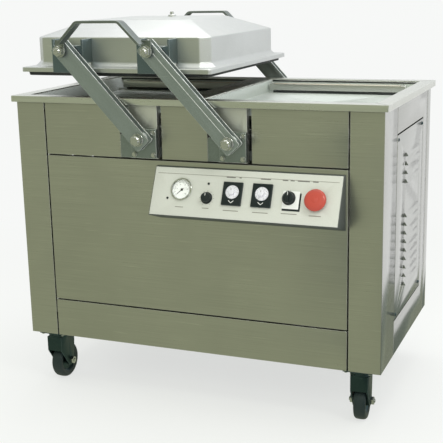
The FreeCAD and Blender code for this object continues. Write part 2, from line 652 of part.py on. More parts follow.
def build_fasteners():
    screws = []
    for z in (RAIL_TOP + 22.0, FASCIA_BOTTOM - 22.0):
        for x in (-398.0, 398.0):
            screws.append(mirror_y(front_screw(x, z)))
    for x in (-PIVOT_X, PIVOT_X):
        for sx in (-27.0, 27.0):
            for z in (BLOCK_BOTTOM + 9.0, BLOCK_TOP - 9.0):
                head = bolt_head(x + sx, FRONT - 7.0, z)
                screws += [head, mirror_y(head)]
    for x in (BOX_X[0] + 9.0, BOX_X[1] - 9.0):
        for down in (9.0, BOX_FACE - 9.0):
            screws.append(on_face(disc(x, down, 2.0, 3.6, 3.2)))
    save("panel_screws", *screws)


# ---- Inside ----------------------------------------------------------------------------------

def build_pump():
    """An oil-sealed rotary pump on two rails, driven by its flanged motor."""
    base = BODY_BOTTOM + 38.0
    body = box(-320.0, -60.0, -95.0, 95.0, base + 20.0, base + 170.0)
    feet = [box(x, x + 30.0, -110.0, 110.0, base, base + 20.0) for x in (-300.0, -110.0)]
    fins = [box(-310.0 + 20.0 * k, -302.0 + 20.0 * k, -112.0, 112.0, base + 30.0, base + 160.0)
            for k in range(12)]
    filter_box = box(-300.0, -140.0, -80.0, 80.0, base + 170.0, base + 240.0)
    inlet = rod((-90.0, 0.0, base + 170.0), (0, 0, 1), 30.0, 22.0)
    save("vacuum_pump", fuse([body, filter_box, inlet] + feet + fins))

    centre = base + 95.0
    can = rod((-60.0, 0.0, centre), (1, 0, 0), 220.0, 74.0)
    ribs = [box(-40.0, 150.0, -2.0, 2.0, centre - 82.0, centre + 82.0)]
    ribs = [turned(ribs[0], (0, 0, centre), X_AXIS, 15.0 * k) for k in range(12)]
    terminal = box(0.0, 90.0, -40.0, 40.0, centre + 60.0, centre + 105.0)
    foot = box(60.0, 90.0, -60.0, 60.0, base, centre - 50.0)
    cowl = rod((160.0, 0.0, centre), (1, 0, 0), 30.0, 78.0)
    save("pump_motor", fuse([can, terminal, foot, cowl] + ribs))

    top = base + 200.0
    level = 548.0
    riser = rod((-90.0, 0.0, top), (0, 0, 1), level - top, 16.0)
    main = rod((-266.0, 0.0, level), (1, 0, 0), 532.0, 16.0)
    pipes = [riser, main]
    for x in (-250.0, 250.0):
        pipes.append(rod((x, 0.0, level), (0, 0, 1), WELL_FLOOR - WELL_SHEET - level, 12.0))
        pipes.append(box(x - 28.0, x + 28.0, -28.0, 28.0, 628.0, 688.0))
        pipes.append(rod((x, 26.0, 658.0), (0, 1, 0), 50.0, 20.0))
    save("suction_pipework", fuse(pipes))


def build_electrics():
    floor = BODY_BOTTOM + 3.0
    core = box(280.0, 420.0, -60.0, 60.0, floor, floor + 120.0)
    coils = [rod((x, -75.0, floor + 60.0), (0, 1, 0), 150.0, 36.0) for x in (315.0, 385.0)]
    save("transformer", fuse([core] + coils))

    board = box(240.0, 440.0, -225.0, -221.0, 318.0, 488.0)
    legs = [box(x, x + 12.0, -225.0, -221.0, floor, 318.0) for x in (250.0, 418.0)]
    contactors = [box(258.0 + 60.0 * k, 303.0 + 60.0 * k, -221.0, -150.0, 388.0, 468.0)
                  for k in range(3)]
    rail = box(245.0, 435.0, -221.0, -211.0, 338.0, 373.0)
    save("contactor_board", fuse([board, rail] + legs + contactors))


# ---- Casters ---------------------------------------------------------------------------------

def caster_plate(x, y):
    """The fixed top plate, its ball race and four bolt heads."""
    plate = box(x - 38.0, x + 38.0, y - 36.0, y + 36.0, BODY_BOTTOM - 4.0, BODY_BOTTOM)
    race = rod((x, y, BODY_BOTTOM - 12.0), (0, 0, 1), 9.0, 27.0)
    hole = rod((x, y, BODY_BOTTOM - 14.0), (0, 0, 1), 20.0, 6.0 + RUNNING_FIT)
    return fuse([plate, race]).cut(hole)


def caster_fork(x, y, heading):
    """The swivelling fork: a pressed hood over the wheel, with kingpin, axle and nuts."""
    race_top = BODY_BOTTOM - 13.0
    front, back = y - 25.0, y + TRAIL + 20.0
    inner, outer = WHEEL_W / 2.0 + 2.8, WHEEL_W / 2.0 + 6.4
    crown = rod((x, y, race_top - 8.0), (0, 0, 1), 8.0, 27.0)
    kingpin = rod((x, y, race_top - 8.0), (0, 0, 1), 20.0, 6.0)
    roof = box(x - outer, x + outer, front, back, race_top - 8.0, race_top - 4.0)
    aprons = [box(x - outer, x + outer, front, front + 3.0, 92.0, race_top - 4.0),
              box(x - outer, x + outer, back - 3.0, back, 106.0, race_top - 4.0)]
    outline = [(front, race_top - 4.0), (back, race_top - 4.0), (back, 2.0 * WHEEL_R + 6.0),
               (y + TRAIL + 13.0, WHEEL_R - 12.0), (y + TRAIL - 13.0, WHEEL_R - 12.0),
               (front, 92.0)]
    legs = [prism_x(outline, x + inner, x + outer), prism_x(outline, x - outer, x - inner)]
    axle = rod((x - outer - 10.0, y + TRAIL, WHEEL_R), (1, 0, 0), 2.0 * outer + 20.0, 5.0)
    nuts = [rod((x + s * outer, y + TRAIL, WHEEL_R), (s, 0, 0), 8.0, 9.0) for s in (-1, 1)]
    fork = fuse([crown, kingpin, roof, axle] + aprons + legs + nuts)
    return turned(fork, (x, y, 0.0), Z_AXIS, heading)


def caster_wheel(x, y, heading):
    """Tyre and hub of one wheel, bored for its axle."""
    centre = (x - WHEEL_W / 2.0, y + TRAIL, WHEEL_R)
    tyre = rod(centre, (1, 0, 0), WHEEL_W, WHEEL_R)
    rims = [e for e in tyre.Edges if e.Curve.TypeId == "Part::GeomCircle"]
    tyre = tyre.makeFillet(7.0, rims)
    dish = 6.0
    for start in (x - WHEEL_W / 2.0, x + WHEEL_W / 2.0 - dish):
        hollow = rod((start, y + TRAIL, WHEEL_R), (1, 0, 0), dish, WHEEL_R - 16.0)
        tyre = tyre.cut(hollow.cut(rod((start, y + TRAIL, WHEEL_R), (1, 0, 0), dish, 20.0)))
    hub = rod((x - 18.0, y + TRAIL, WHEEL_R), (1, 0, 0), 36.0, 15.0)
    wheel = fuse([tyre, hub])
    bore = rod((x - 30.0, y + TRAIL, WHEEL_R), (1, 0, 0), 60.0, 5.0 + RUNNING_FIT)
    return turned(wheel.cut(bore), (x, y, 0.0), Z_AXIS, heading)


def build_casters():
    plates = []
    for name, (x, y, heading) in CASTERS.items():
        plates.append(caster_plate(x, y))
        save("caster_fork_" + name, caster_fork(x, y, heading))
        save("caster_wheel_" + name, caster_wheel(x, y, heading))
    save("caster_plates", *plates)


def main():
    os.makedirs("parts", exist_ok=True)
    build_cabinet()
    build_gland()
    build_table()
    build_seal_bars()
    build_arms()
    build_bearings()
    build_lid()
    build_lid_fittings()
    build_control_box()
    build_instruments()
    build_fasteners()
    build_pump()
    build_electrics()
    build_casters()
    print("rest angle", round(REST_ANGLE, 3), "closed angle", round(CLOSED_ANGLE, 3),
          "upper pivot z", round(UPPER_PIVOT_Z, 3), "seal bottom", round(SEAL_BOTTOM, 2))


main()
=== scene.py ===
# %% [markdown]
# # A double-chamber vacuum packing machine
# A kitchen uses this machine to seal food in bags. One lid swings on four parallel arms between
# two chambers, so one chamber is loaded while the other is pumped out. The sizes, joints and
# places are fixed by a CAD model. This lesson gives every visible part its finish, and builds
# again the parts whose real shape is finer than the CAD solid.

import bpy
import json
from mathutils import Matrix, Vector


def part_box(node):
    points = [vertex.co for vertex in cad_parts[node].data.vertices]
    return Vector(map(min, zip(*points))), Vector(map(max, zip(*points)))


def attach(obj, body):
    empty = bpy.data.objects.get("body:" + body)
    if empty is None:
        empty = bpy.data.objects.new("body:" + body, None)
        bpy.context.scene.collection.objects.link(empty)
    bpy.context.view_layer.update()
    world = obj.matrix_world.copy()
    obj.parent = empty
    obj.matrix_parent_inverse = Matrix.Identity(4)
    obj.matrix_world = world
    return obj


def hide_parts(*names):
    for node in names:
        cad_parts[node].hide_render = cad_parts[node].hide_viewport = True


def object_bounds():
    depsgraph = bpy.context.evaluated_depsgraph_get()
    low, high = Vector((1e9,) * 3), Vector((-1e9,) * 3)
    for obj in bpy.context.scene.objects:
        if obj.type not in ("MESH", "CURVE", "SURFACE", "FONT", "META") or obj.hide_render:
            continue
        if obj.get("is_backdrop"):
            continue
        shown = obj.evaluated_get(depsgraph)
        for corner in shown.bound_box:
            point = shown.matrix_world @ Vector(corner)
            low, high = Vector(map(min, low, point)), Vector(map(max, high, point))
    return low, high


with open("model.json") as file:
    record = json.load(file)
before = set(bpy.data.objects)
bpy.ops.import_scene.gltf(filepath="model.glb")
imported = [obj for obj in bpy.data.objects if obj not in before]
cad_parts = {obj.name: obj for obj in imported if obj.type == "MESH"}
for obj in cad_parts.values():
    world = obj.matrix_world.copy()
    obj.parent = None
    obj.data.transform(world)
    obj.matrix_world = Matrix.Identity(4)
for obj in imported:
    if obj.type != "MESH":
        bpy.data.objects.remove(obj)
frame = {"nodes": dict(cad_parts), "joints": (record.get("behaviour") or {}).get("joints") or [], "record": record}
cad_low, cad_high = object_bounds()
print("CAD box from", [round(v, 3) for v in cad_low], "to", [round(v, 3) for v in cad_high])

# %% Modules and short names
import json
import math

import bmesh
import bpy
from mathutils import Matrix, Vector

MM = 0.001                        # Blender works in metres
JOINTS = {joint["name"]: joint for joint in frame["joints"]}

# %% [markdown]
# ## Effects that several finishes share
# Real stainless sheet is never one flat grey. A belt sander leaves long fine lines, hands leave
# soft smudges, cleaning leaves a few scratches, and folded edges are rubbed bright; a painted
# highlight along the folded edges adds to that wear. Each effect could be painted again in every
# material, but then a change has to be made twenty times. A node group is built once, gives out
# a mask, and each finish mixes that mask in by its own amount.

# %% Start a node group
def start_group(name, inputs, outputs):
    """An empty shader group with named sockets, and its input and output nodes."""
    group = bpy.data.node_groups.new(name, "ShaderNodeTree")
    for label, kind in inputs:
        group.interface.new_socket(label, in_out="INPUT", socket_type=kind)
    for label in outputs:
        group.interface.new_socket(label, in_out="OUTPUT", socket_type="NodeSocketFloat")
    return group, group.nodes.new("NodeGroupInput"), group.nodes.new("NodeGroupOutput")


def noise_node(tree, scale, detail, roughness, distortion=0.0):
    """Cloudy noise. Detail adds finer clouds, and distortion pulls them about."""
    node = tree.nodes.new("ShaderNodeTexNoise")
    node.inputs["Scale"].default_value = scale
    node.inputs["Detail"].default_value = detail
    node.inputs["Roughness"].default_value = roughness
    node.inputs["Distortion"].default_value = distortion
    return node


def range_node(tree, low, high, new_low=0.0, new_high=1.0):
    """Spreads the values between low and high over a new range, and clamps the rest."""
    node = tree.nodes.new("ShaderNodeMapRange")
    for label, value in (("From Min", low), ("From Max", high),
                         ("To Min", new_low), ("To Max", new_high)):
        node.inputs[label].default_value = value
    return node


# %% Brushed lines, smudges, scratches, and rubbed edges with a painted highlight
def build_brushed_lines():
    """Noise squeezed hard across the brushing direction, so it turns into lines."""
    group, source, result = start_group(
        "brushed_lines", [("Coordinates", "NodeSocketVector"), ("Stretch", "NodeSocketVector")],
        ["Lines"])
    squeeze = group.nodes.new("ShaderNodeVectorMath")
    squeeze.operation = "MULTIPLY"
    noise = noise_node(group, 1.0, 3.0, 0.6)
    spread = range_node(group, 0.3, 0.7)
    group.links.new(source.outputs["Coordinates"], squeeze.inputs[0])
    group.links.new(source.outputs["Stretch"], squeeze.inputs[1])
    group.links.new(squeeze.outputs["Vector"], noise.inputs["Vector"])
    group.links.new(noise.outputs["Fac"], spread.inputs["Value"])
    group.links.new(spread.outputs["Result"], result.inputs["Lines"])
    return group


def build_smudges():
    """Large soft patches where hands and cloths have been."""
    group, source, result = start_group(
        "smudges", [("Coordinates", "NodeSocketVector"), ("Size", "NodeSocketFloat")], ["Mask"])
    noise = noise_node(group, 1.0, 4.0, 0.55, 0.4)
    spread = range_node(group, 0.38, 0.66)
    group.links.new(source.outputs["Coordinates"], noise.inputs["Vector"])
    group.links.new(source.outputs["Size"], noise.inputs["Scale"])
    group.links.new(noise.outputs["Fac"], spread.inputs["Value"])
    group.links.new(spread.outputs["Result"], result.inputs["Mask"])
    return group


def build_scratches():
    """A few thin slanting lines: only the peaks of a stretched noise are kept."""
    group, source, result = start_group(
        "scratches", [("Coordinates", "NodeSocketVector")], ["Mask"])
    turn = group.nodes.new("ShaderNodeMapping")
    turn.inputs["Rotation"].default_value = (0.5, 0.35, 0.6)
    turn.inputs["Scale"].default_value = (9.0, 260.0, 260.0)
    noise = noise_node(group, 1.0, 1.0, 0.5)
    peaks = range_node(group, 0.7, 0.76)
    group.links.new(source.outputs["Coordinates"], turn.inputs["Vector"])
    group.links.new(turn.outputs["Vector"], noise.inputs["Vector"])
    group.links.new(noise.outputs["Fac"], peaks.inputs["Value"])
    group.links.new(peaks.outputs["Result"], result.inputs["Mask"])
    return group


def build_rubbed_edges():
    """The faces that easing an edge made carry the attribute "edge"; noise breaks them up. The mask is rubbed wear
    and a painted highlight.
    """
    group, source, result = start_group(
        "rubbed_and_highlit_edges", [("Coordinates", "NodeSocketVector")], ["Mask"])
    flag = group.nodes.new("ShaderNodeAttribute")
    flag.attribute_name = "edge"
    noise = noise_node(group, 60.0, 3.0, 0.6)
    patches = range_node(group, 0.3, 0.6, 0.45, 1.0)
    product = group.nodes.new("ShaderNodeMath")
    product.operation = "MULTIPLY"
    group.links.new(source.outputs["Coordinates"], noise.inputs["Vector"])
    group.links.new(noise.outputs["Fac"], patches.inputs["Value"])
    group.links.new(flag.outputs["Fac"], product.inputs[0])
    group.links.new(patches.outputs["Result"], product.inputs[1])
    group.links.new(product.outputs["Value"], result.inputs["Mask"])
    return group


EFFECTS = {"lines": build_brushed_lines(), "smudges": build_smudges(),
           "scratches": build_scratches(), "edges": build_rubbed_edges()}
print("shared effects:", ", ".join(sorted(EFFECTS)))

# %% [markdown]
# ## The metals
# Steel and aluminium are the same shader with other numbers: full metallic, a colour for what
# it mirrors, and a roughness for how far it blurs. What tells them apart is how the surface was
# worked. Sheet is belt-brushed, a lid is cast and blasted, screws are plated. So one function
# takes the colour, the roughness, the direction of the brushing and the strength of each effect.

# %% Small steps for wiring a material
MIX_COLOURS, MIX_RESULT = (6, 7), 2     # a Mix node's two colour inputs and its colour output


def colour_mix(tree, mask, low, high):
    """Low colour where the mask is 0, high colour where it is 1. Either may be a socket."""
    node = tree.nodes.new("ShaderNodeMix")
    node.data_type = "RGBA"
    for index, value in zip(MIX_COLOURS, (low, high)):
        if isinstance(value, bpy.types.NodeSocket):
            tree.links.new(value, node.inputs[index])
        else:
            node.inputs[index].default_value = (*value, 1.0)
    tree.links.new(mask, node.inputs[0])
    return node.outputs[MIX_RESULT]


def effect(tree, name, place, **values):
    """Places a shared effect and gives its mask."""
    node = tree.nodes.new("ShaderNodeGroup")
    node.node_tree = EFFECTS[name]
    tree.links.new(place, node.inputs["Coordinates"])
    for label, value in values.items():
        node.inputs[label].default_value = value
    return node.outputs[0]


def spread_over(tree, value, low, high, new_low=0.0, new_high=1.0):
    """A value spread from one range over another."""
    node = range_node(tree, low, high, new_low, new_high)
    tree.links.new(value, node.inputs["Value"])
    return node.outputs["Result"]


def scaled(tree, mask, low, high):
    """The mask, spread from low to high."""
    return spread_over(tree, mask, 0.0, 1.0, low, high)


def sum_of(tree, first, second):
    """Two values added."""
    node = tree.nodes.new("ShaderNodeMath")
    node.operation = "ADD"
    tree.links.new(first, node.inputs[0])
    tree.links.new(second, node.inputs[1])
    return node.outputs["Value"]


def bump_from(tree, shader, height, distance):
    """Makes a mask into a relief that is distance deep, in metres."""
    node = tree.nodes.new("ShaderNodeBump")
    node.inputs["Strength"].default_value = 0.5
    node.inputs["Distance"].default_value = distance
    tree.links.new(height, node.inputs["Height"])
    tree.links.new(node.outputs["Normal"], shader.inputs["Normal"])


def tinted(colour, factor):
    """A colour made darker or lighter."""
    return tuple(min(1.0, c * factor) for c in colour)


def start_material(name):
    """A new material, with its tree, its Principled shader and its Object coordinates."""
    material = bpy.data.materials.new(name)
    material.use_nodes = True
    tree = material.node_tree
    place = tree.nodes.new("ShaderNodeTexCoord").outputs["Object"]
    return material, tree, tree.nodes["Principled BSDF"], place


print("a shared effect gives", [item.name for item in EFFECTS["lines"].interface.items_tree])

# %% One function for all metals
ALONG_X = (4.0, 90.0, 900.0)      # brushed along X: slow change along it, fast across
ALONG_Y = (90.0, 4.0, 900.0)
TOP_ALONG_X = (4.0, 900.0, 90.0)
NO_BRUSHING = (420.0, 420.0, 420.0)


def metal(name, colour, roughness, stretch, lines=0.16, smudge=0.12, edge_wear_and_highlight=(0.9, 0.9, 0.88),
          relief=0.00004, polish=1.0):
    """A worked metal. Lines and smudge say how far each effect changes the colour.

    A polish below 1 is a dull surface that also scatters light. A rubbed edge shows bare metal
    roughened by handling, so it scatters light as well. Its colour is wear and a painted highlight.
    """
    material, tree, shader, place = start_material(name)
    streaks = effect(tree, "lines", place, Stretch=stretch)
    hands = effect(tree, "smudges", place, Size=5.0)
    marks = effect(tree, "scratches", place)
    rubbed_and_highlit = effect(tree, "edges", place)
    brushed = colour_mix(tree, streaks, tinted(colour, 1.0 - lines), tinted(colour, 1.0 + lines))
    handled = colour_mix(tree, scaled(tree, hands, 0.0, smudge), brushed, tinted(colour, 0.55))
    marked = colour_mix(tree, scaled(tree, marks, 0.0, 0.35), handled, tinted(colour, 1.35))
    # Painted highlight and wear: eased edges take their own colour, mostly lighter, and scatter lamp light.
    tree.links.new(colour_mix(tree, rubbed_and_highlit, marked, edge_wear_and_highlight), shader.inputs["Base Color"])
    spread = sum_of(tree, scaled(tree, streaks, roughness - 0.05, roughness + 0.05),
                    scaled(tree, hands, 0.0, 0.09))
    tree.links.new(spread, shader.inputs["Roughness"])
    tree.links.new(scaled(tree, rubbed_and_highlit, polish, 0.3), shader.inputs["Metallic"])
    bump_from(tree, shader, streaks, relief)
    return material


# %% Every metal on the machine
# Colour of the cabinet sheet's eased edges: bare metal where rubbed, and a painted highlight.
BARE_AND_HIGHLIT_EDGE = (0.45, 0.46, 0.42)         # rubbed edge of the cabinet sheet
FINISH = {
    # front_stainless and side_stainless are one steel: the front's warmer, slightly darker colour is painted
    # shade.
    "front_stainless": metal("front_stainless", (0.56, 0.56, 0.50), 0.30, ALONG_X, 0.10, 0.10,
                             BARE_AND_HIGHLIT_EDGE),
    "side_stainless": metal("side_stainless", (0.58, 0.58, 0.56), 0.17, ALONG_Y, 0.06, 0.10,
                            BARE_AND_HIGHLIT_EDGE, 0.00001),
    "rim_stainless": metal("rim_stainless", (0.74, 0.75, 0.70), 0.26, TOP_ALONG_X, 0.06),
    "well_stainless": metal("well_stainless", (0.64, 0.69, 0.66), 0.28, TOP_ALONG_X, 0.08,
                            polish=0.30),
    "bearing_steel": metal("bearing_steel", (1.0, 0.98, 1.0), 0.46, NO_BRUSHING, 0.05),
    "arm_steel": metal("arm_steel", (0.31, 0.355, 0.345), 0.34, NO_BRUSHING, 0.12, 0.20,
                       (0.86, 0.88, 0.87), polish=0.75),
    "bracket_steel": metal("bracket_steel", (0.13, 0.175, 0.185), 0.36, NO_BRUSHING, 0.14, 0.25,
                           (0.62, 0.66, 0.66), polish=0.75),
    "block_steel": metal("block_steel", (0.24, 0.28, 0.26), 0.36, NO_BRUSHING, 0.14, 0.25,
                         (0.66, 0.69, 0.66), polish=0.75),
    "handle_steel": metal("handle_steel", (0.26, 0.29, 0.28), 0.38, NO_BRUSHING, 0.15, 0.2,
                          (0.45, 0.48, 0.46)),
    "lid_aluminium": metal("lid_aluminium", (0.69, 0.705, 0.70), 0.42, NO_BRUSHING, 0.05, 0.10,
                           (0.8, 0.8, 0.77), 0.00010),
    "bar_aluminium": metal("bar_aluminium", (0.62, 0.62, 0.60), 0.33, ALONG_X, 0.10),
    "bright_fastener": metal("bright_fastener", (0.62, 0.63, 0.61), 0.24, NO_BRUSHING, 0.06),
    "gauge_chrome": metal("gauge_chrome", (0.72, 0.73, 0.72), 0.16, NO_BRUSHING, 0.03, 0.05),
    "caster_zinc": metal("caster_zinc", (0.05, 0.085, 0.09), 0.34, NO_BRUSHING, 0.18, 0.3,
                         (0.12, 0.17, 0.17)),
    "galvanised_pipe": metal("galvanised_pipe", (0.50, 0.52, 0.53), 0.42, NO_BRUSHING, 0.2, 0.3),
    "ribbon_metal": metal("ribbon_metal", (0.52, 0.44, 0.33), 0.30, ALONG_X, 0.08),
}
print(len(FINISH), "metals")

# %% [markdown]
# ## Paint, plastic, rubber and glass
# None of these conduct, so they are not metallic: the colour is their own, and a thin clear
# reflection lies over it. Paint has an orange-peel ripple a millimetre or two wide. Moulded
# plastic has a fine sparkle of grain. Rubber is dull and greyed where dust sits. The same
# function serves them all, because only the size of the ripple and the dust differ.

# %% One function for all coatings and mouldings
def moulding(name, colour, roughness, ripple=300.0, depth=0.00005, dust=0.08,
             dust_colour=(0.36, 0.35, 0.32), edge_wear_and_highlight_gain=1.1, coat=0.0):
    """Paint, plastic or rubber, with a rippled skin, some dust, and rubbed edges with a painted highlight."""
    material, tree, shader, place = start_material(name)
    skin = noise_node(tree, ripple, 2.0, 0.5)
    tree.links.new(place, skin.inputs["Vector"])
    settled = effect(tree, "smudges", place, Size=9.0)
    rubbed_and_highlit = effect(tree, "edges", place)
    own = colour_mix(tree, skin.outputs["Fac"], tinted(colour, 0.94), tinted(colour, 1.06))
    dusty = colour_mix(tree, scaled(tree, settled, 0.0, dust), own, dust_colour)
    # Eased edges are made lighter: wear, and a painted highlight.
    edge_wear_and_highlight = colour_mix(tree, scaled(tree, rubbed_and_highlit, 0.0, 0.6), dusty, tinted(colour, edge_wear_and_highlight_gain))
    tree.links.new(edge_wear_and_highlight, shader.inputs["Base Color"])
    tree.links.new(scaled(tree, settled, roughness, roughness + 0.12),
                   shader.inputs["Roughness"])
    shader.inputs["Coat Weight"].default_value = coat
    shader.inputs["Coat Roughness"].default_value = 0.12
    bump_from(tree, shader, skin.outputs["Fac"], depth)
    return material


FINISH.update({
    "cream_paint": moulding("cream_paint", (0.63, 0.645, 0.60), 0.40, 420.0, 0.00004, 0.10,
                            (0.50, 0.48, 0.40), coat=0.2),
    "black_plastic": moulding("black_plastic", (0.006, 0.012, 0.014), 0.36, 900.0, 0.00003, 0.02,
                              edge_wear_and_highlight_gain=3.0),
    "timer_cap": moulding("timer_cap", (0.78, 0.78, 0.84), 0.30, 900.0, 0.00002, 0.04),
    "white_plate": moulding("white_plate", (0.84, 0.85, 0.84), 0.28, 900.0, 0.00002, 0.05),
    "white_dial": moulding("white_dial", (0.92, 0.92, 0.90), 0.55, 1500.0, 0.00001, 0.05),
    "electrical_plastic": moulding("electrical_plastic", (0.55, 0.55, 0.50), 0.45),
    "stop_red": moulding("stop_red", (0.50, 0.065, 0.045), 0.34, 900.0, 0.00002, 0.03, coat=0.3),
    "stop_collar": moulding("stop_collar", (0.50, 0.48, 0.42), 0.42),
    "needle_black": moulding("needle_black", (0.012, 0.012, 0.012), 0.40),
    "panel_ink": moulding("panel_ink", (0.10, 0.10, 0.09), 0.55, 1200.0, 0.00001),
    "label_ink": moulding("label_ink", (0.22, 0.21, 0.18), 0.55, 1200.0, 0.00001),
    "black_rubber": moulding("black_rubber", (0.014, 0.018, 0.020), 0.55, 700.0, 0.00006, 0.12),
    "wheel_rubber": moulding("wheel_rubber", (0.008, 0.020, 0.023), 0.42, 500.0, 0.00008, 0.10,
                             (0.16, 0.17, 0.16)),
    "silicone": moulding("silicone", (0.34, 0.09, 0.06), 0.50, 700.0, 0.00004),
    "sealing_tape": moulding("sealing_tape", (0.46, 0.38, 0.26), 0.42, 1400.0, 0.00005, 0.2),
    "frame_steel": moulding("frame_steel", (0.060, 0.072, 0.070), 0.45, 350.0, 0.00006, 0.1),
    "pump_paint": moulding("pump_paint", (0.10, 0.16, 0.20), 0.42, 260.0, 0.00012, 0.2),
    "copper_windings": moulding("copper_windings", (0.30, 0.12, 0.05), 0.35, 800.0, 0.0001),
})


def clear_glass():
    """The gauge window. Roughness carries the faint wipe marks."""
    material, tree, shader, place = start_material("clear_glass")
    shader.inputs["Base Color"].default_value = (0.96, 0.98, 0.98, 1.0)
    shader.inputs["Transmission Weight"].default_value = 1.0
    shader.inputs["IOR"].default_value = 1.45
    wiped = effect(tree, "smudges", place, Size=60.0)
    tree.links.new(scaled(tree, wiped, 0.01, 0.06), shader.inputs["Roughness"])
    return material


FINISH["clear_glass"] = clear_glass()
print(len(FINISH), "finishes")

# %% [markdown]
# ## From a bmesh to a piece
# Every new shape ends the same way: its mesh is stored, flat faces stay flat and round ones are
# shaded smooth, it gets a finish, it is told which CAD body it rides on, and the CAD nodes it
# stands for are hidden. Doing this in one function keeps each later step short.

# %% Make a piece
CREASE = math.radians(32.0)                     # edges that turn more than this stay crisp
BODY_OF = {node: body
           for body, nodes in frame["record"]["behaviour"]["bodies"].items() for node in nodes}


def make_piece(name, shape, body, finish, *stands_for, slot=True):
    """A finished piece from a bmesh. Its place is already in its mesh."""
    mesh = bpy.data.meshes.new(name)
    shape.to_mesh(mesh)
    shape.free()
    mesh.shade_smooth()
    mesh.set_sharp_from_angle(angle=CREASE)
    piece = bpy.data.objects.new(name, mesh)
    bpy.context.scene.collection.objects.link(piece)
    mesh.materials.append(FINISH[finish])
    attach(piece, body)
    if stands_for:
        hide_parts(*stands_for)
    return piece


# %% [markdown]
# ## Easing the edges of sheet metal
# A CAD solid has edges of no width, and they catch no light. On a real folded sheet the bend is
# a few tenths of a millimetre round and shows as a thin bright line. A Bevel modifier on the CAD
# mesh would do little, because that mesh is loose triangles. So a copy is merged, its flat faces
# are joined, and only its sharp edges are bevelled. The new narrow faces are marked in the
# attribute "edge", which the finishes read to paint wear and a highlight there.

# %% Ease a copy of a CAD node
SAME_POINT = 0.005 * MM
FLAT = math.radians(0.5)          # faces that turn less than this are one flat face
SHARP = math.radians(38.0)        # edges that turn more than this are eased
SIDEWAYS = 0.7                    # a face whose normal has more X than this is turned to X


def eased(node, finish, width=0.6 * MM, segments=2, sheet=0.0, side_finish=None):
    """A copy of a CAD node with every sharp edge rounded by width.

    Faces no wider than sheet are the sheared edges of a plate, and get the painted edge highlight as well.
    Faces turned to X can have another finish, because sheet is brushed along its own length; the front's warmer,
    darker tone beside it is painted shade.
    """
    shape = bmesh.new()
    mark = shape.faces.layers.float.new("edge")
    shape.from_mesh(frame["nodes"][node].data)
    bmesh.ops.remove_doubles(shape, verts=shape.verts, dist=SAME_POINT)
    bmesh.ops.dissolve_limit(shape, angle_limit=FLAT, use_dissolve_boundaries=False,
                             verts=shape.verts, edges=shape.edges)
    for face in shape.faces:
        longest = max(edge.calc_length() for edge in face.edges)
        if face.calc_area() < 1.05 * sheet * longest:
            face[mark] = 1.0
    sharp = [edge for edge in shape.edges
             if len(edge.link_faces) == 2 and edge.calc_face_angle(0.0) > SHARP]
    made = bmesh.ops.bevel(shape, geom=sharp, offset=width, offset_type="OFFSET",
                           affect="EDGES", segments=segments, profile=0.5, material=-1,
                           clamp_overlap=True)
    for face in made["faces"]:
        face[mark] = 1.0
    if side_finish:
        for face in shape.faces:
            face.material_index = int(abs(face.normal.x) > SIDEWAYS)
    print(node, "eased", len(sharp), "edges")
    piece = make_piece(node + "_eased", shape, BODY_OF[node], finish, node)
    if side_finish:
        piece.data.materials.append(FINISH[side_finish])
    return piece


# %% Cabinet sheets
EASED_SHEETS = {
    "corner_posts": "front_stainless", "front_fascia": "front_stainless",
    "front_access_panel": "front_stainless", "front_bottom_rail": "front_stainless",
    "rear_fascia": "front_stainless", "rear_access_panel": "front_stainless",
    "side_skins": "side_stainless", "louvre_panels": "side_stainless",
    "top_rim": "rim_stainless", "centre_divider": "rim_stainless",
    "table_wells": "well_stainless", "bearing_posts": "bearing_steel",
    "bearing_blocks": "block_steel", "control_box": "frame_steel",
    "control_face": "cream_paint",
}
for node, finish in EASED_SHEETS.items():
    eased(node, finish, side_finish="side_stainless" if node == "corner_posts" else None)

# %% [markdown]
# ## Turned parts, nuts and bolts
# Knobs, wheels, washers and bezels are turned on a lathe, so an outline spun round an axis is
# the true way to make them. A nut is six-sided bar with its corners turned off, which a bevel on
# the edges of a short six-sided prism gives. Both are drawn on the Z axis at the origin and then
# set in place by one turn and one move.

# %% A lathe
def turned(outline, steps=40, closed=False):
    """An outline of (radius, height) in millimetres, spun about Z."""
    shape = bmesh.new()
    verts = [shape.verts.new((radius * MM, 0.0, height * MM)) for radius, height in outline]
    pairs = list(zip(verts, verts[1:])) + ([(verts[-1], verts[0])] if closed else [])
    edges = [shape.edges.new(pair) for pair in pairs]
    bmesh.ops.spin(shape, geom=verts + edges, cent=(0, 0, 0), axis=(0, 0, 1),
                   angle=2.0 * math.pi, steps=steps, use_merge=True)
    bmesh.ops.remove_doubles(shape, verts=shape.verts, dist=0.01 * MM)
    bmesh.ops.recalc_face_normals(shape, faces=shape.faces)
    return shape


# %% Six-sided bar and cuboid
def hexagon(across_flats, height, chamfer=0.8):
    """A six-sided bar from z 0 upwards, with its end edges chamfered. Millimetres."""
    shape = bmesh.new()
    bmesh.ops.create_circle(shape, cap_ends=True, segments=6,
                            radius=across_flats / math.sqrt(3.0) * MM)
    grown = bmesh.ops.extrude_face_region(shape, geom=shape.faces[:])["geom"]
    tops = [item for item in grown if isinstance(item, bmesh.types.BMVert)]
    bmesh.ops.translate(shape, verts=tops, vec=(0, 0, height * MM))
    level = [edge for edge in shape.edges
             if abs(edge.verts[0].co.z - edge.verts[1].co.z) < 0.001 * MM]
    bmesh.ops.bevel(shape, geom=level, offset=chamfer * MM, offset_type="OFFSET",
                    affect="EDGES", segments=2, profile=0.5, material=-1)
    bmesh.ops.recalc_face_normals(shape, faces=shape.faces)
    return shape


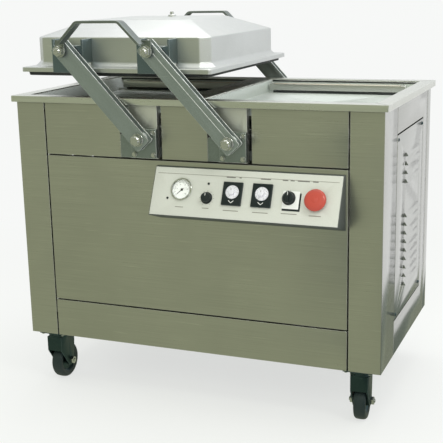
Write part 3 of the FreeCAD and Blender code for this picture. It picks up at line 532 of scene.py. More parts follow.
def block(low, high, ease=0.0, segments=2):
    """A cuboid between two corners in metres, with all edges eased by millimetres."""
    low, high = Vector(low), Vector(high)
    shape = bmesh.new()
    bmesh.ops.create_cube(shape, size=1.0)
    bmesh.ops.scale(shape, vec=high - low, verts=shape.verts)
    bmesh.ops.translate(shape, vec=(low + high) / 2.0, verts=shape.verts)
    if ease:
        bmesh.ops.bevel(shape, geom=shape.edges[:], offset=ease * MM, offset_type="OFFSET",
                        affect="EDGES", segments=segments, profile=0.5, material=-1)
    return shape


# %% Set in place and gather
def placed(shape, centre, axis=(0, 0, 1)):
    """Turns the shape's Z to an axis and moves its origin to a centre."""
    turn = Vector(axis).to_track_quat("Z", "Y").to_matrix().to_4x4()
    shape.transform(Matrix.Translation(Vector(centre)) @ turn)
    return shape


def gathered(shapes):
    """Several bmeshes as one."""
    whole = bmesh.new()
    for shape in shapes:
        scratch = bpy.data.meshes.new("scratch")
        shape.to_mesh(scratch)
        shape.free()
        whole.from_mesh(scratch)
        bpy.data.meshes.remove(scratch)
    return whole


sample = turned(((1.0, 0.0), (1.0, 1.0)), 8)
print("a line spun in 8 steps has", len(sample.faces), "faces")
sample.free()

# %% [markdown]
# ## Screws and welds on the cabinet
# The rim is folded from four strips that are mitred and welded at the corners, and the weld is
# ground almost flat. A thin raised bead across each corner shows that. The louvred panels and
# the rear panel are held by screws with domed heads, and the bearing blocks by hexagon bolts on
# washers. Screws are small, so each is a turned dome with its cross recess shown by two dark
# bars of painted shade, and all of one kind are one piece.

# %% Weld beads across the rim's corners
rim_low, rim_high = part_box("top_rim")
RIM_WIDTH = 37.0 * MM
BEAD_INSET = 3.0 * MM             # from the rim's outer corner


def mitre_bead(sx, sy):
    """A low bead from the rim's outer corner to the opening's corner."""
    outer = Vector((sx * (rim_high.x - BEAD_INSET), sy * (rim_high.y - BEAD_INSET), rim_high.z))
    inner = Vector((sx * (rim_high.x - RIM_WIDTH), sy * (rim_high.y - RIM_WIDTH), rim_high.z))
    length = (outer - inner).length
    bead = block((-length / 2, -1.1 * MM, -0.5 * MM), (length / 2, 1.1 * MM, 0.0), 0.4)
    angle = math.atan2(outer.y - inner.y, outer.x - inner.x)
    bead.transform(Matrix.Translation((outer + inner) / 2) @ Matrix.Rotation(angle, 4, "Z"))
    return bead


make_piece("rim_mitre_welds", gathered([mitre_bead(sx, sy) for sx in (-1, 1) for sy in (-1, 1)]),
           "cabinet", "lid_aluminium")
print("rim", [round(v, 3) for v in rim_high - rim_low])

# %% Domed screws
SCREW_OUTLINE = ((0.0, 2.6), (1.6, 2.5), (3.2, 2.0), (4.4, 1.1), (4.9, 0.0))


def domed_screw(centre, outward):
    """A domed head with a cross recess, standing on a face."""
    return placed(turned(SCREW_OUTLINE, 20), centre, outward)


def cross_recess(centre, outward):
    """The two dark bars of a cross recess, on a domed head: painted shade in the recess."""
    bars = [block((-1.9 * MM, -0.35 * MM, 2.0 * MM), (1.9 * MM, 0.35 * MM, 2.75 * MM)),
            block((-0.35 * MM, -1.9 * MM, 2.0 * MM), (0.35 * MM, 1.9 * MM, 2.75 * MM))]
    return placed(gathered(bars), centre, outward)


louvre_low, louvre_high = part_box("louvre_panels")
rear_low, rear_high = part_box("rear_access_panel")
SCREW_INSET = 12.0 * MM
SIDE_FACE = 500.0 * MM            # outside of the cabinet's sides
screw_places = []
for sx in (-1, 1):
    for y in (louvre_low.y + SCREW_INSET, louvre_high.y - SCREW_INSET):
        for z in (louvre_low.z + SCREW_INSET, louvre_high.z - SCREW_INSET):
            screw_places.append((Vector((sx * SIDE_FACE, y, z)), (sx, 0, 0)))
for x in (rear_low.x + SCREW_INSET, rear_high.x - SCREW_INSET):
    for z in (rear_low.z + SCREW_INSET, rear_high.z - SCREW_INSET):
        screw_places.append((Vector((x, rear_high.y, z)), (0, 1, 0)))
make_piece("panel_screw_heads", gathered([domed_screw(*p) for p in screw_places]),
           "cabinet", "caster_zinc")
make_piece("panel_screw_recesses", gathered([cross_recess(*p) for p in screw_places]),
           "cabinet", "needle_black")
print(len(screw_places), "domed screws")

# %% Bolts of the bearing blocks
PIVOT_X = JOINTS["right_arm_swing"]["pos_m"][0]
PIVOT_Z = JOINTS["lid_swing"]["pos_m"][2]
BLOCK_FACE = 295.0 * MM           # outside of a bearing block
BOLT_SPREAD = 27.0 * MM           # a bolt's place beside the pivot
BOLT_ROWS = (-43.0 * MM, 14.0 * MM)     # below and above the pivot


def block_bolt(x, side, z):
    """A hexagon head with its washer on a bearing block, front or rear."""
    parts = gathered([turned(((0.0, 1.2), (6.6, 1.2), (7.0, 0.8), (7.0, 0.0)), 24),
                      placed(hexagon(10.0, 4.4), (0, 0, 1.0 * MM))])
    return placed(parts, (x, side * BLOCK_FACE, z), (0, side, 0))


bolts = [block_bolt(sx * PIVOT_X + sb * BOLT_SPREAD, side, PIVOT_Z + row)
         for sx in (-1, 1) for sb in (-1, 1) for side in (-1, 1) for row in BOLT_ROWS]
print(len(bolts), "bolts")
make_piece("bearing_block_bolts", gathered(bolts), "cabinet", "bright_fastener", "panel_screws")

# %% [markdown]
# ## The table and the seal bars
# Each chamber has two seal bars. A bar is an aluminium rail with a groove. A flat heating ribbon
# lies in the groove, tape holds it on both sides, and a low clamp with a screw holds each end.
# All of it is thin: the lid's silicone strips press on the bar, so nothing on it may stand
# 2.4 mm high.

# %% Seal bars with ribbon, tape and clamps
def seal_bar_pieces(node):
    """The rail, its ribbon, two strips of tape and a clamp at each end."""
    low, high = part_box(node)
    middle = (low.y + high.y) / 2.0
    eased(node, "bar_aluminium", 0.8 * MM)
    floor = high.z - 1.5 * MM
    ribbon = block((low.x + 4 * MM, middle - 2.5 * MM, floor - 0.1 * MM),
                   (high.x - 4 * MM, middle + 2.5 * MM, floor + 0.4 * MM), 0.1, 1)
    make_piece(node + "_ribbon", ribbon, BODY_OF[node], "ribbon_metal", slot=False)
    strips = [block((low.x + 12 * MM, middle + side * 7.6 * MM - 2.4 * MM, high.z - 0.1 * MM),
                    (high.x - 12 * MM, middle + side * 7.6 * MM + 2.4 * MM, high.z + 0.2 * MM),
                    0.1, 1) for side in (-1, 1)]
    make_piece(node + "_tape", gathered(strips), BODY_OF[node], "sealing_tape", slot=False)
    clamps = []
    for x in (low.x + 9 * MM, high.x - 9 * MM):
        clamps.append(block((x - 6 * MM, middle - 4.4 * MM, floor),
                            (x + 6 * MM, middle + 4.4 * MM, high.z + 0.8 * MM), 0.4))
        clamps.append(placed(hexagon(6.0, 1.4, 0.3), (x, middle, high.z + 0.7 * MM)))
    make_piece(node + "_clamps", gathered(clamps), BODY_OF[node], "bright_fastener")


for node in sorted(frame["nodes"]):
    if node.startswith("seal_bar_"):
        seal_bar_pieces(node)

# %% [markdown]
# ## Sealant, suction ports and bladders
# The wells hang under the rim, and a dark bead of sealant along the long walls closes the joint; its dark strip is
# also a painted shadow under the rim's lip.
# A suction port is the mouth of the pump's pipe, with a cross of bars that keeps bags out. A
# drilled hole would do, but the real port is a turned ring that is pressed into the floor. The
# bladders that push the seal bars up are soft rubber, so their edges are eased widely.

# %% Sealant between rim and wells, also a painted shadow under the rim
RIM_SHEET = 3.0 * MM
BEAD_ENDS = (37.0 * MM, 468.0 * MM)     # distance of a bead's ends from the table's middle
BEAD_SIDES = (258.0 * MM, 255.6 * MM)   # the well's wall, and how far the bead stands off it
BEAD_DEPTH = (4.5 * MM, 0.2 * MM)       # under the rim's sheet

# Each bead is a real seal, and its dark strip just under the rim's sheet is also a painted shadow of the rim's
# lip.
beads = []
for sx in (-1, 1):
    near, far = sorted(sx * end for end in BEAD_ENDS)
    for sy in (-1, 1):
        front, back = sorted(sy * side for side in BEAD_SIDES)
        low, high = (rim_high.z - RIM_SHEET - depth for depth in BEAD_DEPTH)
        beads.append(block((near, front, low), (far, back, high), 0.8))
print(len(beads), "beads of sealant")
make_piece("well_sealant_and_rim_shade", gathered(beads), "cabinet", "black_rubber")

# %% Suction ports
PORT_X = 250.0 * MM
PORT_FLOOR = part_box("bar_bladders")[0].z
PORT_RING = ((12.8, -2.6), (12.8, 1.0), (13.6, 1.8), (19.0, 1.8), (20.5, 0.6), (20.5, 0.0),
             (13.4, 0.0), (13.4, -2.6))


def suction_port(x):
    """A flanged ring in the floor, with two crossed guard bars."""
    guard = [block((-12.9 * MM, -1.2 * MM, -1.6 * MM), (12.9 * MM, 1.2 * MM, 0.4 * MM), 0.4),
             block((-1.2 * MM, -12.9 * MM, -1.6 * MM), (1.2 * MM, 12.9 * MM, 0.4 * MM), 0.4)]
    return placed(gathered([turned(PORT_RING, 32, True)] + guard), (x, 0.0, PORT_FLOOR))


make_piece("suction_ports", gathered([suction_port(-PORT_X), suction_port(PORT_X)]),
           "cabinet", "bright_fastener")

# %% Bladders
eased("bar_bladders", "black_rubber", 2.0 * MM, 3)

# %% [markdown]
# ## The swing linkage
# Two channel-shaped arms stand in front and two behind. The front and rear arm of a pair are
# clamped to one shaft, so they swing together, and the second pair keeps the lid level. The arms
# are folded sheet, so they are eased copies. Shafts and nuts are turned again, because their
# chamfers, washers and thread ends are what the eye reads as a fastener.

# %% Arms
for node in ("left_arms", "right_arms"):
    eased(node, "arm_steel", 0.9 * MM, sheet=4.0 * MM)

# %% Shafts with clamping nuts
ARM_FACE = 329.0 * MM             # outside of an arm


def threaded_end(radius, length):
    """A short end of a bar, with shallow turned thread grooves and a chamfer. Millimetres."""
    outline = [(0.0, length), (radius - 1.2, length), (radius - 0.2, length - 1.0)]
    pitch = 1.5
    for k in range(int((length - 1.5) / pitch)):
        height = length - 1.2 - k * pitch
        outline += [(radius - 0.5, height - 0.4), (radius, height - 1.0)]
    outline += [(radius, 0.0), (0.0, 0.0)]
    return turned(outline, 28)


def clamping_nut(side, x, z):
    """Washer, nut and thread end on the outer face of an arm."""
    washer = turned(((10.0, 0.0), (16.6, 0.0), (16.6, 1.8), (16.0, 2.4), (10.0, 2.4)), 32, True)
    nut = placed(hexagon(27.0, 12.0, 1.6), (0, 0, 2.2 * MM))
    end = placed(threaded_end(11.0, 6.0), (0, 0, 13.6 * MM))
    return placed(gathered([washer, nut, end]), (x, side * ARM_FACE, z), (0, side, 0))


SHAFT_LENGTH = 2.0 * ARM_FACE / MM
SHAFT = ((0.0, 0.0), (11.0, 0.0), (11.0, SHAFT_LENGTH), (0.0, SHAFT_LENGTH))
for name, sx in (("left", -1), ("right", 1)):
    x = sx * PIVOT_X
    bar = placed(turned(SHAFT, 32), (x, -ARM_FACE, PIVOT_Z), (0, 1, 0))
    nuts = [clamping_nut(side, x, PIVOT_Z) for side in (-1, 1)]
    make_piece(name + "_shaft_turned", gathered([bar] + nuts), BODY_OF[name + "_shaft"],
               "bright_fastener", name + "_shaft")
print("shafts", SHAFT_LENGTH, "mm long")

# %% [markdown]
# ## The lid
# The lid is one aluminium casting: a flat flange, walls that stand almost upright with a sloping
# foot, corners cut at an angle, and a shallow roof that slopes on all four sides to a flat
# middle. It could be cut from a block, but casting gives every edge a soft round. So the outline
# is drawn as a loop of eight corners at each height, the loops are bridged into walls, inside
# and outside, and then all the edges are rounded together.

# %% Loops of the casting
lid_low, lid_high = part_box("lid_shell")
LID_MIDDLE = (lid_low.x + lid_high.x) / 2.0
FLANGE_HALF = ((lid_high.x - lid_low.x) / 2.0, lid_high.y)
FLANGE_BOTTOM = lid_low.z
FLANGE_TOP = FLANGE_BOTTOM + 12.0 * MM
WALL_TOP = FLANGE_TOP + 75.0 * MM
ROOF_TOP = lid_high.z
WALL_HALF = 250.0 * MM
ROOF_HALF = 150.0 * MM
WALL = 5.0 * MM


def cut_corner_loop(shape, half_x, half_y, cut, z):
    """Eight corners round the lid's middle. Gives the loop's edges."""
    quarter = [(half_x, half_y - cut), (half_x - cut, half_y)]
    outline = quarter + [(-x, y) for x, y in reversed(quarter)]
    outline += [(-x, -y) for x, y in outline]
    verts = [shape.verts.new((LID_MIDDLE + x, y, z)) for x, y in outline]
    return [shape.edges.new((verts[k], verts[(k + 1) % 8])) for k in range(8)]


def lid_casting():
    """Flange, walls and roof, outside and inside, as bridged loops."""
    shape = bmesh.new()
    loops = [
        (WALL_HALF - WALL, WALL_HALF - WALL, 21 * MM, FLANGE_BOTTOM),
        (FLANGE_HALF[0], FLANGE_HALF[1], 7 * MM, FLANGE_BOTTOM),
        (FLANGE_HALF[0], FLANGE_HALF[1], 7 * MM, FLANGE_TOP),
        (WALL_HALF + 12 * MM, WALL_HALF + 12 * MM, 31 * MM, FLANGE_TOP),
        (WALL_HALF, WALL_HALF, 24 * MM, FLANGE_TOP + 12 * MM),
        (WALL_HALF, WALL_HALF, 24 * MM, WALL_TOP),
        (ROOF_HALF, ROOF_HALF, 24 * MM, ROOF_TOP),
    ]
    inside = [
        (WALL_HALF - WALL, WALL_HALF - WALL, 21 * MM, WALL_TOP - 1.5 * MM),
        (ROOF_HALF - WALL, ROOF_HALF - WALL, 21 * MM, ROOF_TOP - WALL),
    ]
    outer = [cut_corner_loop(shape, *loop) for loop in loops]
    inner = [outer[0]] + [cut_corner_loop(shape, *loop) for loop in inside]
    for chain in (outer, inner):
        for first, second in zip(chain, chain[1:]):
            bmesh.ops.bridge_loops(shape, edges=first + second)
    for rim in (outer[-1], inner[-1]):
        bmesh.ops.contextual_create(shape, geom=rim)
    bmesh.ops.recalc_face_normals(shape, faces=shape.faces)
    return shape


# %% Round the casting's edges
casting = lid_casting()
SLIGHT_BEND = math.radians(8.0)
rounded = [edge for edge in casting.edges
           if edge.is_manifold and edge.calc_face_angle(0.0) > SLIGHT_BEND
           and max(vert.co.z for vert in edge.verts) >= FLANGE_TOP - 1.0 * MM]
bmesh.ops.bevel(casting, geom=rounded, offset=3.0 * MM, offset_type="OFFSET", affect="EDGES",
                segments=4, profile=0.5, material=-1, clamp_overlap=True)
print("lid casting:", len(casting.faces), "faces,", len(rounded), "rounded edges")
make_piece("lid_casting", casting, "lid", "lid_aluminium", "lid_shell")

# %% [markdown]
# ## Gasket and pressing strips
# A rubber gasket runs round under the flange and closes the chamber. It is one section
# carried round a rectangle with rounded corners. The red silicone strips inside the lid are what
# the seal bars press the bag against.

# %% A loop round a rounded rectangle
def round_corner_loop(shape, half_x, half_y, radius, z, steps=6):
    """The edges of a rectangle with rounded corners, round the lid's middle."""
    verts = []
    for sx, sy, start in ((1, 1, 0), (-1, 1, 90), (-1, -1, 180), (1, -1, 270)):
        centre = Vector((LID_MIDDLE + sx * (half_x - radius), sy * (half_y - radius), z))
        for k in range(steps + 1):
            angle = math.radians(start + 90.0 * k / steps)
            verts.append(shape.verts.new(centre + Vector((math.cos(angle), math.sin(angle), 0))
                                         * radius))
    return [shape.edges.new((verts[k], verts[(k + 1) % len(verts)])) for k in range(len(verts))]


# %% Gasket
seal_low, seal_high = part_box("lid_seal")


def gasket():
    """A D-shaped lip: flat against the flange, round underneath, with a groove each side."""
    half_x = (seal_high.x - seal_low.x) / 2.0
    half_y = (seal_high.y - seal_low.y) / 2.0
    top, bottom = seal_high.z, seal_low.z
    section = [(0.0, top), (0.0, top - 3.5 * MM), (1.6 * MM, top - 4.5 * MM),
               (0.6 * MM, top - 6.0 * MM), (1.4 * MM, bottom + 1.6 * MM),
               (3.6 * MM, bottom + 0.3 * MM), (6.0 * MM, bottom),
               (8.4 * MM, bottom + 0.3 * MM), (10.6 * MM, bottom + 1.6 * MM),
               (11.4 * MM, top - 6.0 * MM), (10.4 * MM, top - 4.5 * MM),
               (12.0 * MM, top - 3.5 * MM), (12.0 * MM, top)]
    shape = bmesh.new()
    loops = [round_corner_loop(shape, half_x - inset, half_y - inset, 14 * MM - inset, z)
             for inset, z in section]
    for first, second in zip(loops, loops[1:] + loops[:1]):
        bmesh.ops.bridge_loops(shape, edges=first + second)
    bmesh.ops.recalc_face_normals(shape, faces=shape.faces)
    return shape


make_piece("lid_gasket", gasket(), "lid", "black_rubber", "lid_seal")
eased("lid_press_strips", "silicone", 1.5 * MM, 3)

# %% [markdown]
# ## Brackets, handles, pivots and valve
# Each upper pivot is a welded bracket with a pin through it. The handle is a flat bar bent to a
# bridge, hung on the same pins and held by their nuts. The valve on the roof lets air back in
# and is a small turned fitting with a knurled cap.

# %% Brackets and handles
eased("lid_brackets", "bracket_steel", 0.8 * MM, sheet=6.0 * MM)
eased("lid_handles", "handle_steel", 1.0 * MM, 3)

# %% Upper pivots
UPPER_Z = JOINTS["lid_level"]["pos_m"][2]
LUG_FACE = 337.3 * MM             # outside of a handle's lug, where the washer sits


def upper_pivot(sx, side):
    """Pin, washers, nut and inner head of one upper pivot."""
    x = LID_MIDDLE + sx * PIVOT_X
    length = 46.0
    pin = turned(((0, -length), (12.0, -length), (13.0, 1.0 - length), (13.0, 5.5 - length),
                  (8.0, 6.0 - length), (8.0, 0.0), (0.0, 0.0)), 28)
    washer = turned(((8.2, 0.1), (15.0, 0.1), (15.0, 1.6), (14.5, 2.0), (8.2, 2.0)), 28, True)
    nut = placed(hexagon(24.0, 11.0, 1.4), (0, 0, 1.9 * MM))
    end = placed(threaded_end(8.0, 7.0), (0, 0, 12.5 * MM))
    return placed(gathered([pin, washer, nut, end]), (x, side * LUG_FACE, UPPER_Z), (0, side, 0))


make_piece("upper_pivots", gathered([upper_pivot(sx, side) for sx in (-1, 1) for side in (-1, 1)]),
           "lid", "bright_fastener", "lid_pins")

# %% Valve with a knurled cap
valve_low, valve_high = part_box("lid_valve")


KNURL_FROM = 2.4 * MM             # nearer the axis than this, a cap stays smooth


def knurled(shape, teeth, depth, lowest, highest):
    """Moves the outer vertices in and out round the axis, between two heights."""
    for vert in shape.verts:
        radius = math.hypot(vert.co.x, vert.co.y)
        if radius > KNURL_FROM and lowest <= vert.co.z <= highest:
            swing = math.cos(teeth * math.atan2(vert.co.y, vert.co.x))
            scale = 1.0 + depth * swing / radius
            vert.co.x *= scale
            vert.co.y *= scale
    return shape


valve = turned(((0, 14.0), (4.0, 14.0), (5.4, 13.2), (5.6, 12.0), (5.6, 7.0), (5.0, 6.2),
                (5.0, 5.2), (10.8, 5.0), (12.0, 4.0), (12.0, 0.0), (0.0, 0.0)), 48)
knurled(valve, 12, 0.3 * MM, 6.5 * MM, 12.5 * MM)
valve_middle = (valve_low + valve_high) / 2.0
make_piece("lid_valve_fitting", placed(valve, (valve_middle.x, valve_middle.y, ROOF_TOP)),
           "lid", "gauge_chrome", "lid_valve")

# %% [markdown]
# ## The control panel
# The instruments stand on a face that leans back, so each is drawn flat, with Z out of the face
# and Y up it, and then set in place. The joints of the CAD model give both: a knob's joint lies
# on the face at the knob's centre, and its axis is the face's normal. What hangs on one joint's
# place can so never drift from the part that turns there.

# %% The sloping face as a place
FACE_NORMAL = Vector(JOINTS["needle_turn"]["axis"]).normalized()
FACE_UP = (Vector((0, 0, 1)) - FACE_NORMAL * FACE_NORMAL.z).normalized()
FACE_TURN = Matrix((Vector((1, 0, 0)), FACE_UP, FACE_NORMAL)).transposed().to_4x4()
STOP_ASIDE, STOP_BELOW = 353.0 * MM, 9.0 * MM     # of the stop button, from the gauge
PLACE = {name: Vector(joint["pos_m"]) for name, joint in JOINTS.items() if "pos_m" in joint}
PLACE["stop_press"] = (PLACE["needle_turn"] + Vector((STOP_ASIDE, 0.0, 0.0))
                       - FACE_UP * STOP_BELOW)


def on_face(shape, joint, right=0.0, up=0.0):
    """Sets a flat-drawn shape at a joint's place on the face, shifted by millimetres."""
    centre = PLACE[joint] + FACE_TURN.to_3x3() @ Vector((right, up, 0)) * MM
    shape.transform(Matrix.Translation(centre) @ FACE_TURN)
    return shape


print("the face leans back", round(math.degrees(math.asin(FACE_NORMAL.z)), 1), "degrees")

# %% Printed lines and numbers
def tick(radius, length, width, degrees, z):
    """A printed line that points at the centre of a dial. Degrees run clockwise from the top."""
    bar = block((-width / 2 * MM, (radius - length) * MM, z * MM),
                (width / 2 * MM, radius * MM, (z + 0.1) * MM))
    bar.transform(Matrix.Rotation(-math.radians(degrees), 4, "Z"))
    return bar


def numeral(text, size, radius, degrees, z):
    """A printed number on a dial, as a thin mesh. Degrees run clockwise from the top."""
    curve = bpy.data.curves.new("numeral", "FONT")
    curve.body = text
    curve.size = size * MM
    curve.align_x = "CENTER"
    curve.align_y = "CENTER"
    curve.extrude = 0.05 * MM
    writer = bpy.data.objects.new("numeral", curve)
    bpy.context.scene.collection.objects.link(writer)
    mesh = bpy.data.meshes.new_from_object(writer)
    shape = bmesh.new()
    shape.from_mesh(mesh)
    bpy.data.objects.remove(writer)
    bpy.data.meshes.remove(mesh)
    angle = math.radians(degrees)
    centre = Vector((radius * math.sin(angle), radius * math.cos(angle), z))
    shape.transform(Matrix.Translation(centre * MM))
    return shape


# %% [markdown]
# ### Vacuum gauge
# A pressed case with a polished bezel, a white card with a scale and numbers, a black needle on
# a small hub, and a slightly domed window.

# %% Gauge
bezel = turned(((0.0, -12.0), (23.6, -12.0), (23.6, 3.0), (24.2, 5.6), (25.4, 7.0), (27.2, 7.0),
                (28.6, 5.8), (29.0, 4.0), (29.0, 2.0), (26.0, 2.0), (26.0, -14.0),
                (0.0, -14.0)), 64)
make_piece("gauge_bezel", on_face(bezel, "needle_turn"), "cabinet", "gauge_chrome", "gauge_case")
card = turned(((0.0, -1.5), (23.5, -1.5), (23.5, -3.0), (0.0, -3.0)), 64)
make_piece("gauge_card", on_face(card, "needle_turn"), "cabinet", "white_dial", "gauge_dial")
scale = [tick(21.5, 4.0 if k % 5 == 0 else 2.2, 0.7 if k % 5 == 0 else 0.35,
              -135.0 + 5.4 * k, -1.5) for k in range(51)]
scale += [numeral(str(10 * k), 3.6, 14.2, -135.0 + 27.0 * k, -1.4) for k in range(0, 11, 2)]
make_piece("gauge_scale", on_face(gathered(scale), "needle_turn"), "cabinet", "panel_ink",
           slot=False)
window = turned(((0.0, 5.6), (8.0, 5.5), (16.0, 5.1), (23.4, 4.4), (23.4, 3.6), (16.0, 4.2),
                 (8.0, 4.6), (0.0, 4.7)), 48)
pane = make_piece("gauge_window", on_face(window, "needle_turn"), "cabinet", "clear_glass",
                  "gauge_glass")
pane.visible_shadow = False       # thin glass throws no shadow on the card behind it
eased("gauge_needle", "needle_black", 0.15 * MM, 1)

# %% [markdown]
# ### Timers
# Each timer is a black frame with a round white dial that turns, printed with a scale round its
# edge, and a small grip in its middle. Two short white bars under the dial make a plain arrow.

# %% Timers
eased("timer_bezels", "black_plastic", 1.2 * MM, 3)
for name in ("timer_knob_left", "timer_knob_right"):
    joint = name + "_turn"
    dial = turned(((0.0, 8.6), (16.0, 8.6), (16.9, 8.0), (17.0, 6.0), (3.0, 6.0), (3.0, -6.8),
                   (0.0, -6.8)), 56)
    grip = turned(((0.0, 15.4), (6.4, 15.4), (7.6, 14.4), (8.1, 8.5), (0.0, 8.5)), 56)
    knurled(grip, 14, 0.35 * MM, 8.0 * MM, 14.0 * MM)
    ridge = block((-1.2 * MM, -6.8 * MM, 15.0 * MM), (1.2 * MM, 6.8 * MM, 17.0 * MM), 0.6)
    make_piece(name + "_dial", on_face(gathered([dial, grip, ridge]), joint),
               BODY_OF[name], "timer_cap", name)
    marks = [tick(15.8, 2.8 if k % 2 == 0 else 1.6, 0.5, -150.0 + 15.0 * k, 8.6)
             for k in range(21)]
    marks += [numeral(str(k), 2.8, 11.0, -150.0 + 60.0 * k, 8.66) for k in range(6)]
    marks.append(block((-0.5 * MM, 2.0 * MM, 17.0 * MM), (0.5 * MM, 6.4 * MM, 17.1 * MM)))
    make_piece(name + "_marks", on_face(gathered(marks), joint), BODY_OF[name], "panel_ink",
               slot=False)
    arrow = []
    for lean in (-50.0, 50.0):
        bar = block((-0.7 * MM, 0.0, 8.0 * MM), (0.7 * MM, 9.0 * MM, 8.15 * MM))
        bar.transform(Matrix.Rotation(math.radians(lean), 4, "Z"))
        arrow.append(bar)
    make_piece(name + "_index", on_face(gathered(arrow), joint, 0.0, -27.5), "cabinet",
               "white_plate")

# %% [markdown]
# ### Knob, switch and stop button
# The black knob sets the vacuum and has a fluted skirt. The switch has a white square plate on
# a black plate, whose wider border at the right and bottom is also a painted shadow of the white
# plate, and a black knob with a lever. The stop button is a red mushroom head, large enough to
# hit with a palm, that slides in its collar.

# %% Vacuum knob
knob = turned(((0.0, 16.4), (7.0, 16.4), (10.6, 15.4), (11.8, 13.6), (12.2, 6.2), (14.6, 5.0),
               (15.0, 4.4), (15.0, 2.4), (3.9, 2.4), (3.9, -8.0), (0.0, -8.0)), 72)
knurled(knob, 18, 0.4 * MM, 5.5 * MM, 15.5 * MM)
make_piece("vacuum_knob_turned", on_face(knob, "vacuum_knob_turn"), BODY_OF["vacuum_knob"],
           "black_plastic", "vacuum_knob")
pointer = block((-0.7 * MM, 3.0 * MM, 16.2 * MM), (0.7 * MM, 9.6 * MM, 16.6 * MM), 0.15, 1)
make_piece("vacuum_knob_pointer", on_face(pointer, "vacuum_knob_turn"), BODY_OF["vacuum_knob"],
           "white_plate")

# %% Rotary switch
eased("switch_plate", "white_plate", 0.6 * MM)
# The black plate shows most at the white plate's right and lower edges: a painted shadow of the plate.
backing_and_shadow = block((-15.0 * MM, -31.0 * MM, 2.0 * MM), (30.0 * MM, 14.0 * MM, 2.6 * MM), 0.2, 1)
make_piece("switch_backing_and_shadow", on_face(backing_and_shadow, "mode_switch_turn"), "cabinet", "black_plastic")
switch = turned(((0.0, 15.0), (9.0, 15.0), (12.6, 13.4), (14.4, 10.0), (15.0, 7.6), (17.0, 6.6),
                 (17.0, 4.4), (5.9, 4.4), (5.9, -9.0), (0.0, -9.0)), 64)
lever = block((-3.4 * MM, -13.0 * MM, 10.0 * MM), (3.4 * MM, 15.5 * MM, 20.0 * MM), 1.6, 4)
make_piece("mode_switch_knob", on_face(gathered([switch, lever]), "mode_switch_turn"),
           BODY_OF["mode_switch"], "black_plastic", "mode_switch")
pointer = block((-0.6 * MM, 4.0 * MM, 19.9 * MM), (0.6 * MM, 13.6 * MM, 20.2 * MM), 0.1, 1)
make_piece("mode_switch_pointer", on_face(pointer, "mode_switch_turn"), BODY_OF["mode_switch"],
           "white_plate")

# %% Stop button
collar = turned(((8.3, 2.0), (8.3, 8.2), (9.0, 9.0), (17.2, 9.0), (19.0, 7.4), (19.4, 2.0)),
                48, True)
make_piece("stop_collar_ring", on_face(collar, "stop_press"), "cabinet", "stop_collar",
           "stop_base")
head = turned(((0.0, 22.4), (7.0, 22.9), (8.0, 22.4), (9.2, 22.5), (15.0, 22.2), (21.0, 20.9),
               (25.0, 18.9), (26.8, 16.8), (27.0, 15.0), (25.4, 14.6), (20.0, 15.2), (8.0, 15.6),
               (8.0, -8.0), (0.0, -8.0)), 64)
make_piece("stop_mushroom", on_face(head, "stop_press"), BODY_OF["stop_button"], "stop_red",
           "stop_button")

# %% [markdown]
# ### Printing on the panel
# A thin rule runs under the panel's upper edge with dashes below it in place of headings, each
# knob has a few index marks, and a plain bar stands where a caption would be. No lettering is
# needed to tell the controls apart.

# %% Rule and heading dashes
face_low, face_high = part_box("control_face")
SKIN = 2.0                        # the printed side of the face plate, above the joints' plane


def stroke(x0, x1, down0, down1):
    """A printed bar on the face. X from the gauge's axis, down from it, in millimetres."""
    return block((x0 * MM, -down1 * MM, SKIN * MM), (x1 * MM, -down0 * MM, (SKIN + 0.12) * MM))


gauge_x = JOINTS["needle_turn"]["pos_m"][0]
left_end = (face_low.x - gauge_x) / MM + 8.0
right_end = (face_high.x - gauge_x) / MM - 8.0
RULE_UP = 40.5
rule = stroke(left_end, right_end, -RULE_UP, 1.2 - RULE_UP)
make_piece("panel_rule", on_face(rule, "needle_turn"), "cabinet", "label_ink", slot=False)

RULE_DASHES = ((116, 140), (150, 156), (206, 232), (262, 276), (282, 292), (300, 330),
               (338, 352))
dashes = [stroke(x0, x1, 1.6 - RULE_UP, 3.6 - RULE_UP) for x0, x1 in RULE_DASHES]
make_piece("panel_heading_dashes", on_face(gathered(dashes), "needle_turn"), "cabinet",
           "panel_ink", slot=False)

# %% Index marks
marks = []
for joint, radius, start, stop, count in (("vacuum_knob_turn", 19.5, -150, 150, 11),
                                          ("mode_switch_turn", 21.0, -45, 45, 3)):
    marks += [on_face(tick(radius, 2.6, 0.8, start + (stop - start) * k / (count - 1), SKIN),
                      joint) for k in range(count)]
print(len(marks), "index marks")
make_piece("panel_index_marks", gathered(marks), "cabinet", "panel_ink", slot=False)

# %% Caption bars
CAPTIONS = (("needle_turn", 0.0, -45.0, 22.0), ("vacuum_knob_turn", 0.0, -26.0, 18.0),
            ("timer_knob_left_turn", 0.0, -46.0, 40.0),
            ("timer_knob_right_turn", 0.0, -46.0, 40.0),
            ("mode_switch_turn", 4.0, -38.0, 40.0), ("stop_press", 0.0, -36.0, 30.0))
bars = []
for joint, right, up, length in CAPTIONS:
    bar = block((-length / 2 * MM, -0.9 * MM, SKIN * MM),
                (length / 2 * MM, 0.9 * MM, (SKIN + 0.12) * MM))
    bars.append(on_face(bar, joint, right, up))
make_piece("panel_caption_bars", gathered(bars), "cabinet", "label_ink", slot=False)

# %% Pilot studs
STUD = ((0.0, 4.6), (1.6, 4.4), (2.8, 3.6), (3.2, 2.0), (0.0, 2.0))
studs = [on_face(turned(STUD, 20), "vacuum_knob_turn", 0.0, 36.5),
         on_face(turned(STUD, 20), "needle_turn", -35.0, -24.0)]
make_piece("panel_studs", gathered(studs), "cabinet", "black_plastic")

# %% [markdown]
# ## The casters
# Each caster turns on a ball race under a plate. The fork is pressed steel, the wheel is a hard
# rubber tyre on a hub, and the axle ends in two bright nuts. The tyre is an outline with a
# shallow groove on each shoulder, spun about the axle. Each wheel has its own place and heading
# from its joint.

